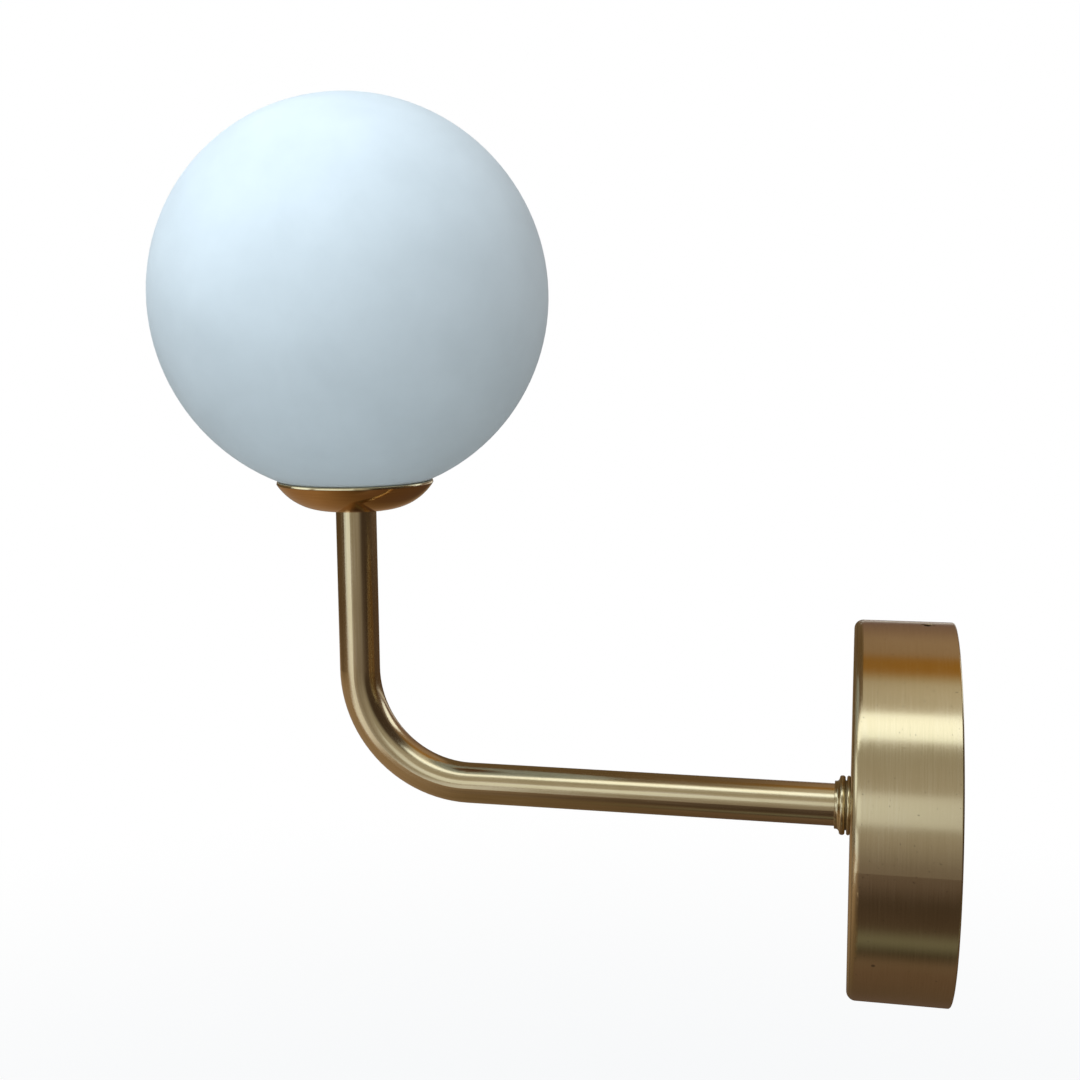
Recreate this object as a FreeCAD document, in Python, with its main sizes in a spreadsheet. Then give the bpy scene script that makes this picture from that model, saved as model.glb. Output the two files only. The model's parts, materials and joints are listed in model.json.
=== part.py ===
import FreeCAD, Part
import math
import os
import re
import Sketcher

# Globe wall sconce: a round canopy on the wall, a bent tube arm, a shallow dish
# and an opal glass globe that screws down over a plug-in lamp.
#
# Frame: millimetres, origin at the centre of the canopy's rim on the wall plane.
# +Z is up, the arm leaves the wall along -Y and then turns up.
# "Out" in the comments below is the distance from the wall, so out = -Y.

# ---------------------------------------------------------------------------
# Driving sizes: name, millimetres, meaning (a share and a count have no unit)
# ---------------------------------------------------------------------------
SIZES = [
    # overall
    ("arm_reach", 180, "wall plane to the axis of the upright tube"),
    ("globe_height", 150, "arm axis up to the centre of the globe"),
    ("globe_diameter", 120, "outside of the glass ball"),
    ("canopy_diameter", 110, "outside of the canopy"),
    # fits
    ("slip_gap", 0.1, "gap between pieces that are clamped or pushed together"),
    ("seat_gap", 0.3, "gap between a moving piece and its curved seat"),
    # glass globe
    ("glass_wall", 2.6, "thickness of the ball"),
    ("mouth_bore", 31.4, "inside of the threaded mouth"),
    ("mouth_wall", 2.5, "thickness of the mouth's collar"),
    ("mouth_lip", 1.6, "how far the mouth stands out below the ball"),
    ("mouth_depth", 10.8, "height of the mouth's collar"),
    ("lip_round", 0.9, "roundness of the mouth's edges"),
    ("gasket_width", 2.8, "width of the soft ring between glass and dish"),
    ("gasket_drop", 0.9, "how far the soft ring hangs into the dish"),
    # dish
    ("dish_rim_radius", 24, "outside of the dish at its rim"),
    ("dish_corner", 17.5, "radius of the dish's curved side"),
    ("dish_depth", 8.1, "rim above the underside of the floor"),
    ("dish_wall", 1, "sheet thickness of the dish"),
    ("rim_gap", 1.3, "dish rim below the glass"),
    # arm
    ("tube_diameter", 12.5, "outside of the arm tube"),
    ("tube_wall", 1.1, "wall of the arm tube"),
    ("bend_radius", 35, "centre line of the bend"),
    # threaded nipples, nuts and washers
    ("nipple_diameter", 9.9, "outside of the hollow threaded nipples"),
    ("nipple_bore", 7.2, "bore of the nipples"),
    ("nipple_grip", 12, "length of nipple brazed into the tube"),
    ("nipple_end", 2, "nipple showing past the nut in the canopy"),
    ("nipple_top", 1, "nipple showing past the nut under the lampholder"),
    ("nipple_bevel", 0.5, "bevel at the nipples' ends"),
    ("nut_across", 14, "across flats"),
    ("nut_height", 3.5, "thickness of the nuts"),
    ("nut_face", 6.7, "radius of a nut's flat face inside its bevel"),
    ("nut_bevel", 1.1, "drop of a nut's bevel at and beyond its corners"),
    ("washer_diameter", 16, "toothed washer"),
    ("washer_thickness", 1, "toothed washer"),
    ("bush_flange", 0.8, "flange of the wire bushes"),
    ("bush_bore", 5.4, "bore of the wire bushes"),
    ("bush_length", 5, "wire bush inside the nipple"),
    # collar
    ("collar_foot", 8.9, "radius of the foot ring on the canopy"),
    ("collar_groove", 7.7, "radius at the groove between the two beads"),
    ("collar_step", 6.95, "radius of the thin step on the tube"),
    ("collar_length", 5.1, "height of the collar"),
    ("collar_seat", 2, "canopy face to the tube's end"),
    ("foot_height", 0.6, "height of the collar's foot ring"),
    ("bead_height", 0.7, "beads proud of the groove"),
    ("bead_radius", 0.95, "roundness of the lower bead"),
    ("bead_radius_upper", 0.75, "roundness of the upper bead"),
    ("groove_start", 2.25, "canopy face to the groove"),
    ("groove_width", 0.45, "groove between the beads"),
    ("cove_start", 3.75, "canopy face to the cove"),
    ("cove_radius", 1.4, "hollow curve up to the step"),
    ("step_height", 0.6, "height of the thin step"),
    # canopy
    ("canopy_depth", 28.5, "wall to the front face"),
    ("canopy_wall", 1.2, "sheet thickness of the canopy"),
    ("canopy_round", 2.6, "radius of the rounded front edge"),
    ("canopy_rim_round", 0.6, "radius of the outer rim edge"),
    ("grub_out", 8, "canopy screws out from the wall"),
    ("grub_diameter", 3.9, "canopy screws"),
    ("grub_length", 7.6, "canopy screws"),
    ("hex_socket", 2, "across flats of the socket in the screws"),
    # wall bracket
    ("strap_width", 25, "width of the strap"),
    ("strap_thickness", 2, "sheet thickness of the bracket"),
    ("ear_clearance", 2.2, "canopy's inside to the ears"),
    ("ear_length", 14, "wall to the end of the ears"),
    ("strap_bend", 1.5, "inside radius of the ears' bends"),
    ("cable_hole", 18, "diameter of the cable hole"),
    ("slot_spacing", 60, "distance between the wall screw slots"),
    ("slot_length", 14, "wall screw slots, end to end"),
    ("slot_width", 5, "wall screw slots"),
    ("wing_end", 33, "right wing's end from the centre"),
    ("wing_half", 14, "half height of the right wing"),
    ("tab_end", 25, "left tab's end from the centre"),
    ("tab_half", 9, "half height of the left tab"),
    ("plate_round", 3, "corner radius of wing and tab"),
    # terminal block
    ("block_centre", 23, "block's centre from the origin, along X"),
    ("block_width", 17, "along X"),
    ("block_length", 20, "along Z"),
    ("block_height", 14, "out from the bracket"),
    ("block_edge", 1.2, "corner radius of the block"),
    ("ridge_width", 12.2, "along X, the block's raised middle"),
    ("shoulder_height", 10.1, "out from the bracket to the block's lower shoulders"),
    ("head_seat", 10.4, "out from the bracket to the seat of the fixing screw's head"),
    ("way_pitch", 10, "distance between the two ways"),
    ("barrel_diameter", 6, "outside of the clamping barrels"),
    ("barrel_bore", 3.2, "bore of the clamping barrels"),
    ("barrel_length", 13, "length of the clamping barrels"),
    ("clamp_screw", 3, "diameter of the clamping screws"),
    ("clamp_screw_length", 5.3, "length of the clamping screws"),
    ("clamp_pitch", 7, "distance between a barrel's two screws"),
    ("fixing_screw", 2.9, "block screw and lampholder screws"),
    ("fixing_head", 5.4, "head diameter of those screws"),
    ("fixing_head_height", 2, "head height of those screws"),
    ("head_round", 1.3, "radius of the rounded screw heads' edges"),
    ("screw_slot", 1, "width of the slots in the screw heads"),
    ("screw_slot_depth", 1.1, "depth of the slots in the screw heads"),
    # earth
    ("earth_centre", 18.5, "earth screw's centre from the origin, along -X"),
    ("earth_screw", 3.9, "earth screw's thread"),
    ("earth_head", 8, "earth screw's head diameter"),
    ("earth_head_height", 2.4, "earth screw's head"),
    ("earth_washer_width", 9, "earth washer's diameter"),
    ("tag_thickness", 0.8, "sheet of the earth tags"),
    ("tag_rim", 2.4, "width of a tag's ring"),
    ("crimp_diameter", 3.4, "outside of a tag's crimp"),
    ("crimp_length", 6, "length of a tag's crimp"),
    ("crimp_lift", 2, "crimp's axis above the underside of the tag"),
    # wires
    ("wire_diameter", 1.9, "over the insulation"),
    ("wire_spacing", 2.2, "between the two wires in the arm"),
    ("holder_lead", 2.5, "lampholder's foot down to where the wires draw together"),
    ("bush_lead", 0.5, "holder's bush up to where the wires run straight down"),
    ("live_turn", 5, "nipple's end to the live wire's turn towards the block"),
    ("block_lead", 6, "straight wire in front of the terminal block"),
    ("barrel_lead", 2.5, "wire inside the barrel"),
    ("holder_lead_bend", 6, "bend radius of the wires under the lampholder"),
    ("canopy_lead_bend", 5.5, "bend radius of the wires where they turn in the canopy"),
    ("block_lead_bend", 5, "bend radius of the wires in front of the block"),
    ("earth_loop", 14, "earth wire's loop beyond the bracket's tag"),
    ("earth_loop_share", 0.42, "loop's bend radius as a share of its width"),
    # shade carrier and lampholder
    ("spacer_diameter", 15, "ring under the shade carrier"),
    ("spacer_height", 2, "ring under the shade carrier"),
    ("carrier_radius", 15.3, "outside of the threaded sleeve"),
    ("carrier_wall", 1.4, "wall of the threaded sleeve"),
    ("carrier_floor", 1.5, "floor of the threaded sleeve"),
    ("carrier_height", 14.4, "height of the threaded sleeve"),
    ("carrier_corner", 1.2, "outer corner at the sleeve's foot"),
    ("carrier_corner_inside", 0.6, "inner corner at the sleeve's foot"),
    ("thread_bevel", 0.4, "bevel at the start of the sleeve's thread"),
    ("cradle_thickness", 1, "sheet of the lampholder's cradle"),
    ("cradle_width", 10, "width of the cradle's arms"),
    ("cradle_foot", 14, "width of the cradle's foot"),
    ("shoulder_low", 2, "cradle's bend up to where its arms start to narrow"),
    ("shoulder_high", 4, "cradle's bend up to where its arms are narrow"),
    ("arm_end", 4, "holder screws up to the ends of the cradle's arms"),
    ("cradle_bend", 0.5, "inside radius of the cradle's bends"),
    ("holder_rise", 12.9, "cradle's floor to the lampholder"),
    ("holder_width", 20, "lampholder along X"),
    ("holder_depth", 15, "lampholder along Y"),
    ("holder_height", 18, "lampholder"),
    ("holder_round", 2.5, "corner radius of the lampholder"),
    ("recess_depth", 6, "recess for the lamp's foot"),
    ("recess_round", 2, "corner radius of the recess"),
    ("recess_gap", 0.5, "lamp's foot to the recess"),
    ("slot_depth", 9, "contact slots below the recess"),
    ("contact_spacing", 9, "between the two contacts"),
    ("contact_width", 4.4, "contacts along X"),
    ("contact_sheet", 0.35, "sheet of the contacts"),
    ("contact_gap", 1.7, "inside width of a contact"),
    ("contact_drop", 1, "contacts' ends below the floor of the recess"),
    ("holder_screw_height", 6, "holder screws above the lampholder's foot"),
    ("holder_screw_grip", 3.6, "length of the holder screws inside the ceramic"),
    # lamp
    ("foot_width", 14, "lamp's foot along X"),
    ("foot_depth", 9.6, "lamp's foot along Y"),
    ("foot_round", 1.5, "corner radius of the lamp's foot"),
    ("lamp_foot_height", 7, "lamp's foot"),
    ("lamp_lift", 0.4, "lamp's foot above the floor of the recess"),
    ("lamp_diameter", 16, "lamp's body"),
    ("lamp_body", 7, "height of the lamp's solid body"),
    ("lamp_shoulder", 1.2, "rounding under the lamp's body"),
    ("lamp_neck", 3, "height of the neck inside the cover"),
    ("cover_height", 38, "lamp's clear cover"),
    ("cover_wall", 0.8, "lamp's clear cover"),
    ("pin_wire", 1, "wire of the lamp's pin loops"),
    ("pin_width", 4, "outside width of a pin loop"),
    ("pin_length", 7.5, "length of a pin loop"),
    ("board_width", 11, "lamp's circuit board"),
    ("board_thickness", 1.2, "lamp's circuit board"),
    ("board_height", 30, "lamp's circuit board"),
    ("board_corner", 2, "cut corners at the board's top"),
    ("chip_start", 2, "board's foot to the first chips"),
    ("chip_width", 3, "light chips"),
    ("chip_height", 1.6, "light chips"),
    ("chip_thickness", 0.7, "light chips"),
    ("chip_pitch", 4.6, "light chips"),
    ("chip_count", 6, "light chips in a row"),
]

doc = FreeCAD.newDocument("globe_wall_sconce")
sheet = doc.addObject("Spreadsheet::Sheet", "Sizes")
for row, (size_name, millimetres, meaning) in enumerate(SIZES, start=1):
    sheet.set(f"A{row}", str(millimetres))
    sheet.set(f"B{row}", meaning)
    sheet.setAlias(f"A{row}", size_name)
doc.recompute()
SIZE_NAMES = {size_name for size_name, millimetres, meaning in SIZES}

# ---------------------------------------------------------------------------
# Heights and places that follow from the sizes, as formulas
# ---------------------------------------------------------------------------
GLOBE_R = "(globe_diameter / 2)"
CANOPY_R = "(canopy_diameter / 2)"
TUBE_BORE = "(tube_diameter - 2 * tube_wall)"

# Up the upright's axis: glass, dish, shade carrier, lampholder, lamp.
RIM_Z = f"(globe_height - sqrt({GLOBE_R}^2 - dish_rim_radius^2) - rim_gap)"
FLOOR_Z = f"({RIM_Z} - dish_depth)"
SPACER_Z = f"({FLOOR_Z} + dish_wall)"
CARRIER_Z = f"({SPACER_Z} + spacer_height)"
CRADLE_Z = f"({CARRIER_Z} + carrier_floor)"
HOLDER_NUT_Z = f"({CRADLE_Z} + cradle_thickness)"
HOLDER_NIPPLE_Z = f"({HOLDER_NUT_Z} + nut_height + nipple_top)"
HOLDER_Z = f"({HOLDER_NUT_Z} + holder_rise)"
RECESS_Z = f"({HOLDER_Z} + holder_height - recess_depth)"
LAMP_Z = f"({RECESS_Z} + lamp_lift)"
LAMP_NECK_Z = f"({LAMP_Z} + lamp_foot_height + lamp_body)"
MOUTH_R = "(mouth_bore / 2 + mouth_wall)"
MOUTH_Z = f"(globe_height - sqrt({GLOBE_R}^2 - {MOUTH_R}^2) - mouth_lip)"

# Out from the wall, inside the canopy: earth tag, washer, nut, end of the nipple.
TAG_OUT = "(canopy_depth - canopy_wall)"
WASHER_OUT = f"({TAG_OUT} - tag_thickness)"
NUT_OUT = f"({WASHER_OUT} - washer_thickness)"
NIPPLE_OUT = f"({NUT_OUT} - nut_height - nipple_end)"
TUBE_END_OUT = "(canopy_depth + collar_seat)"
EAR_Z = f"({CANOPY_R} - canopy_wall - ear_clearance)"
WAY_OUT = "(strap_thickness + block_height / 2)"


def sized(formula):
    """The formula with each size's name pointing at its cell."""
    def point(found):
        word = found.group()
        return f"Sizes.{word}" if word in SIZE_NAMES else word
    return re.sub(r"[a-z_]+", point, formula)


def number(formula):
    """The formula's value in millimetres."""
    return float(sheet.evalExpression(sized(formula)))


# ---------------------------------------------------------------------------
# Drawing helpers
# ---------------------------------------------------------------------------
FACING = {
    "up": FreeCAD.Rotation(),
    "out": FreeCAD.Rotation(FreeCAD.Vector(1, 0, 0), 90),
    "wall": FreeCAD.Rotation(FreeCAD.Vector(1, 0, 0), -90),
    "side": FreeCAD.Rotation(FreeCAD.Vector(0, 1, 0), 90),
}


def place(piece, facing, x="0", y="0", z="0"):
    """Turn the piece's own Z up, out, to the wall or to the side, and tie its place."""
    piece.Placement = FreeCAD.Placement(FreeCAD.Vector(), FACING[facing])
    for axis, formula in zip("xyz", (x, y, z)):
        piece.setExpression(f"Placement.Base.{axis}", sized(formula))


def new_body(name, facing="up", x="0", y="0", z="0"):
    body = doc.addObject("PartDesign::Body", name)
    body.Label = name
    place(body, facing, x, y, z)
    return body


def upright_body(name, z="0"):
    """A body on the axis of the upright tube."""
    return new_body(name, "up", "0", "-arm_reach", z)


def origin_plane(body, role):
    return [feature for feature in body.Origin.OriginFeatures if feature.Role == role][0]


def new_sketch(body, role, name, lift="0"):
    """A sketch on one of the body's own planes, lifted along its normal."""
    sketch = body.newObject("Sketcher::SketchObject", name)
    sketch.AttachmentSupport = [(origin_plane(body, role), "")]
    sketch.MapMode = "FlatFace"
    sketch.setExpression("AttachmentOffset.Base.z", sized(lift))
    return sketch


def tie(sketch, kind, geometry, point, formula):
    """Fix a distance from the sketch's origin to a point."""
    rule = Sketcher.Constraint(kind, -1, 1, geometry, point, number(formula))
    index = sketch.addConstraint(rule)
    sketch.setExpression(f"Constraints[{index}]", sized(formula))


def outline(sketch, steps, closed=True):
    """Draw from corner to corner. A step is (x, y) for a line to that corner, or
    (x, y, radius, turn) for an arc to it: turn is 1 to the left, -1 to the right."""
    corners = [FreeCAD.Vector(number(step[0]), number(step[1]), 0) for step in steps]
    first = 0 if closed else 1
    last_end = None
    first_start = None
    for index in range(first, len(steps)):
        start = corners[index - 1]
        end = corners[index]
        if len(steps[index]) == 2:
            edge = sketch.addGeometry(Part.LineSegment(start, end), False)
            start_point, end_point = 1, 2
        else:
            radius, turn = steps[index][2:]
            edge = add_arc(sketch, start, end, radius, turn)
            start_point, end_point = (1, 2) if turn > 0 else (2, 1)
        if last_end is None:
            first_start = (edge, start_point)
        else:
            sketch.addConstraint(Sketcher.Constraint("Coincident", *last_end, edge, start_point))
        if last_end is None and not closed:
            tie(sketch, "DistanceX", edge, start_point, steps[index - 1][0])
            tie(sketch, "DistanceY", edge, start_point, steps[index - 1][1])
        tie(sketch, "DistanceX", edge, end_point, steps[index][0])
        tie(sketch, "DistanceY", edge, end_point, steps[index][1])
        last_end = (edge, end_point)
    if closed:
        sketch.addConstraint(Sketcher.Constraint("Coincident", *last_end, *first_start))


def add_arc(sketch, start, end, radius, turn):
    chord = end - start
    reach = max(number(radius)**2 - (chord.Length / 2)**2, 0)**0.5
    left = FreeCAD.Vector(-chord.y, chord.x, 0).normalize()
    centre = (start + end) * 0.5 + left * reach * turn
    begin, finish = (start, end) if turn > 0 else (end, start)
    first_angle = math.atan2(begin.y - centre.y, begin.x - centre.x)
    last_angle = math.atan2(finish.y - centre.y, finish.x - centre.x)
    circle = Part.Circle(centre, FreeCAD.Vector(0, 0, 1), number(radius))
    edge = sketch.addGeometry(Part.ArcOfCircle(circle, first_angle, last_angle), False)
    index = sketch.addConstraint(Sketcher.Constraint("Radius", edge, number(radius)))
    sketch.setExpression(f"Constraints[{index}]", sized(radius))
    return edge


def add_circle(sketch, x, y, radius):
    centre = FreeCAD.Vector(number(x), number(y), 0)
    circle = Part.Circle(centre, FreeCAD.Vector(0, 0, 1), number(radius))
    edge = sketch.addGeometry(circle, False)
    index = sketch.addConstraint(Sketcher.Constraint("Radius", edge, number(radius)))
    sketch.setExpression(f"Constraints[{index}]", sized(radius))
    tie(sketch, "DistanceX", edge, 3, x)
    tie(sketch, "DistanceY", edge, 3, y)


def rectangle(x0, y0, x1, y1):
    return [(x1, y0), (x1, y1), (x0, y1), (x0, y0)]


def rounded_rectangle(half_x, half_y, radius, x="0"):
    """A rectangle about (x, 0) with round corners."""
    right, left = f"({x} + {half_x})", f"({x} - {half_x})"
    return [
        (f"{right} - {radius}", f"-{half_y}"),
        (right, f"{radius} - {half_y}", radius, 1),
        (right, f"{half_y} - {radius}"),
        (f"{right} - {radius}", half_y, radius, 1),
        (f"{left} + {radius}", half_y),
        (left, f"{half_y} - {radius}", radius, 1),
        (left, f"{radius} - {half_y}"),
        (f"{left} + {radius}", f"-{half_y}", radius, 1),
    ]


def upright_slot(y, half_length, radius):
    """A slot along the sketch's Y, each end drawn as two quarter turns."""
    top, bottom = f"({y} + {half_length})", f"({y} - {half_length})"
    return [
        (radius, f"{bottom} + {radius}"),
        (radius, f"{top} - {radius}"),
        ("0", top, radius, 1),
        (f"-{radius}", f"{top} - {radius}", radius, 1),
        (f"-{radius}", f"{bottom} + {radius}"),
        ("0", bottom, radius, 1),
    ]


def hexagon(across):
    """Six corners, with two of them on the sketch's X axis."""
    corner, half = f"{across} / sqrt(3)", f"{across} / 2"
    return [
        (f"{corner} / 2", f"-{half}"),
        (corner, "0"),
        (f"{corner} / 2", half),
        (f"-{corner} / 2", half),
        (f"-{corner}", "0"),
        (f"-{corner} / 2", f"-{half}"),
    ]


def revolve(body, name, steps, cut=False):
    """Turn a section in the body's XZ plane about its Z axis."""
    sketch = new_sketch(body, "XZ_Plane", f"{name}_section")
    outline(sketch, steps)
    kind = "PartDesign::Groove" if cut else "PartDesign::Revolution"
    turned = body.newObject(kind, name)
    turned.Profile = sketch
    turned.ReferenceAxis = (sketch, ["V_Axis"])
    turned.Angle = 360
    body.Tip = turned
    doc.recompute()
    return turned


def pad(body, name, sketch, length, both_sides=False, taper=None):
    grown = body.newObject("PartDesign::Pad", name)
    grown.Profile = sketch
    grown.setExpression("Length", sized(length))
    if both_sides:
        grown.SideType = "Symmetric"
    if taper:
        grown.TaperAngle = taper
    body.Tip = grown
    doc.recompute()
    return grown


def pocket(body, name, sketch, length=None, backwards=False):
    """Cut along the sketch: with no length, right through to both sides."""
    solid_before = body.Shape.Volume
    cut = body.newObject("PartDesign::Pocket", name)
    cut.Profile = sketch
    if length is None:
        cut.Type = "ThroughAll"
        cut.SideType = "Symmetric"
    else:
        cut.setExpression("Length", sized(length))
        cut.Reversed = backwards
    body.Tip = cut
    doc.recompute()
    if not body.Shape.Volume < solid_before - 0.01:
        raise RuntimeError(f"{name} cuts nothing")
    return cut


def mirror(body, name, features, role):
    """Repeat the features on the other side of one of the body's planes."""
    copy = body.newObject("PartDesign::Mirrored", name)
    copy.Originals = features
    copy.MirrorPlane = (origin_plane(body, role), [""])
    body.Tip = copy
    doc.recompute()
    return copy


parts = []


def keep(piece):
    """Note a finished sub-part."""
    parts.append(piece)
    return piece


# ---------------------------------------------------------------------------
# Shared small pieces
# ---------------------------------------------------------------------------
def hollow_nipple(name, facing, length, **place_at):
    """Threaded tube with a bevel at both ends; its own Z runs along the bore."""
    body = new_body(name, facing, **place_at)
    outside, inside = "nipple_diameter / 2", "nipple_bore / 2"
    revolve(body, f"{name}_tube", [
        (inside, "0"),
        (f"{outside} - nipple_bevel", "0"),
        (outside, "nipple_bevel"),
        (outside, f"{length} - nipple_bevel"),
        (f"{outside} - nipple_bevel", length),
        (inside, length),
    ])
    return keep(body)


def hex_nut(name, facing, **place_at):
    """Hexagon nut with its outer corners bevelled."""
    body = new_body(name, facing, **place_at)
    sketch = new_sketch(body, "XY_Plane", f"{name}_outline")
    outline(sketch, hexagon("nut_across"))
    add_circle(sketch, "0", "0", "nipple_diameter / 2 + slip_gap / 2")
    pad(body, f"{name}_blank", sketch, "nut_height")
    beyond = "(nut_across / sqrt(3) + nut_bevel / 2)"
    revolve(body, f"{name}_bevel", [
        ("nut_face", "nut_height"),
        (beyond, "nut_height - nut_bevel"),
        (beyond, "nut_height"),
    ], cut=True)
    return keep(body)


def wire_bush(name, facing, **place_at):
    """Flanged plastic bush that keeps the wires off the nipple's edge; Z leaves the nipple."""
    body = new_body(name, facing, **place_at)
    bore, sleeve = "bush_bore / 2", "nipple_bore / 2 - slip_gap"
    revolve(body, f"{name}_turned", [
        (bore, "-bush_length"),
        (sleeve, "-bush_length"),
        (sleeve, "0"),
        ("nipple_diameter / 2", "0"),
        ("nipple_diameter / 2", "bush_flange / 2"),
        ("nipple_diameter / 2 - bush_flange / 2", "bush_flange", "bush_flange / 2", 1),
        (f"{bore} + bush_flange / 2", "bush_flange"),
        (bore, "bush_flange / 2", "bush_flange / 2", 1),
    ])
    return keep(body)


def earth_tag(name, hole, facing, side, **place_at):
    """Ring terminal: a flat ring, a neck along the given side and a crimped barrel."""
    body = new_body(name, facing, **place_at)
    rim = f"({hole} + tag_rim)"
    start = f"({rim} + tag_rim / 2)"
    ring = new_sketch(body, "XY_Plane", f"{name}_ring_outline")
    add_circle(ring, "0", "0", rim)
    pad(body, f"{name}_ring", ring, "tag_thickness")
    neck = new_sketch(body, "XY_Plane", f"{name}_neck_outline")
    ends = sorted([f"{side} * {hole}", f"{side} * ({start} + crimp_length / 2)"], key=number)
    outline(neck, rectangle(ends[0], "-crimp_diameter / 2", ends[1], "crimp_diameter / 2"))
    pad(body, f"{name}_neck", neck, "tag_thickness")
    crimp = new_sketch(body, "YZ_Plane", f"{name}_crimp_outline", f"{side} * {start}")
    add_circle(crimp, "0", "crimp_lift", "crimp_diameter / 2")
    barrel = pad(body, f"{name}_crimp", crimp, "crimp_length")
    barrel.Reversed = side < 0
    doc.recompute()
    bore = new_sketch(body, "YZ_Plane", f"{name}_bore_outline", f"{side} * ({start} + crimp_length)")
    add_circle(bore, "0", "crimp_lift", "wire_diameter / 2 + slip_gap / 2")
    pocket(body, f"{name}_bore", bore, "crimp_length", backwards=side < 0)
    hole_sketch = new_sketch(body, "XY_Plane", f"{name}_hole_outline")
    add_circle(hole_sketch, "0", "0", hole)
    pocket(body, f"{name}_hole", hole_sketch)
    return keep(body)


# ---------------------------------------------------------------------------
# At the wall: bracket, terminal block, earth screw
# ---------------------------------------------------------------------------
def make_wall_bracket():
    """Pressed strap with a bent ear at each end, a wing for the block and a tab for the earth."""
    body = new_body("wall_bracket")
    turn_in, turn_out = "strap_bend", "(strap_bend + strap_thickness)"
    side = new_sketch(body, "YZ_Plane", "strap_side")
    outline(side, [
        (f"-{turn_out}", f"-{EAR_Z}"),
        ("0", f"{turn_out} - {EAR_Z}", turn_out, 1),
        ("0", f"{EAR_Z} - {turn_out}"),
        (f"-{turn_out}", EAR_Z, turn_out, 1),
        ("-ear_length", EAR_Z),
        ("-ear_length", f"{EAR_Z} - strap_thickness"),
        (f"-{turn_out}", f"{EAR_Z} - strap_thickness"),
        ("-strap_thickness", f"{EAR_Z} - {turn_out}", turn_in, -1),
        ("-strap_thickness", f"{turn_out} - {EAR_Z}"),
        (f"-{turn_out}", f"strap_thickness - {EAR_Z}", turn_in, -1),
        ("-ear_length", f"strap_thickness - {EAR_Z}"),
        ("-ear_length", f"-{EAR_Z}"),
    ])
    pad(body, "strap", side, "strap_width", both_sides=True)

    plate = new_sketch(body, "XZ_Plane", "wing_and_tab")
    outline(plate, [
        ("strap_width / 2", "-wing_half"),
        ("wing_end - plate_round", "-wing_half"),
        ("wing_end", "plate_round - wing_half", "plate_round", 1),
        ("wing_end", "wing_half - plate_round"),
        ("wing_end - plate_round", "wing_half", "plate_round", 1),
        ("strap_width / 2", "wing_half"),
        ("-strap_width / 2", "tab_half"),
        ("plate_round - tab_end", "tab_half"),
        ("-tab_end", "tab_half - plate_round", "plate_round", 1),
        ("-tab_end", "plate_round - tab_half"),
        ("plate_round - tab_end", "-tab_half", "plate_round", 1),
        ("-strap_width / 2", "-tab_half"),
    ])
    pad(body, "wing_and_tab_plate", plate, "strap_thickness")

    face_holes = new_sketch(body, "XZ_Plane", "cable_and_screw_holes")
    add_circle(face_holes, "0", "0", "cable_hole / 2")
    add_circle(face_holes, "block_centre", "0", "fixing_screw / 2 + slip_gap / 2")
    add_circle(face_holes, "-earth_centre", "0", "earth_screw / 2 + slip_gap / 2")
    pocket(body, "face_holes", face_holes)
    slot = new_sketch(body, "XZ_Plane", "wall_screw_slot")
    outline(slot, upright_slot("slot_spacing / 2", "slot_length / 2", "slot_width / 2"))
    upper_slot = pocket(body, "upper_slot", slot)
    mirror(body, "lower_slot", [upper_slot], "XY_Plane")
    ear_hole = new_sketch(body, "XY_Plane", "ear_hole_outline")
    add_circle(ear_hole, "0", "-grub_out", "grub_diameter / 2 + slip_gap / 2")
    pocket(body, "ear_holes", ear_hole)
    keep(body)


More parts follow.
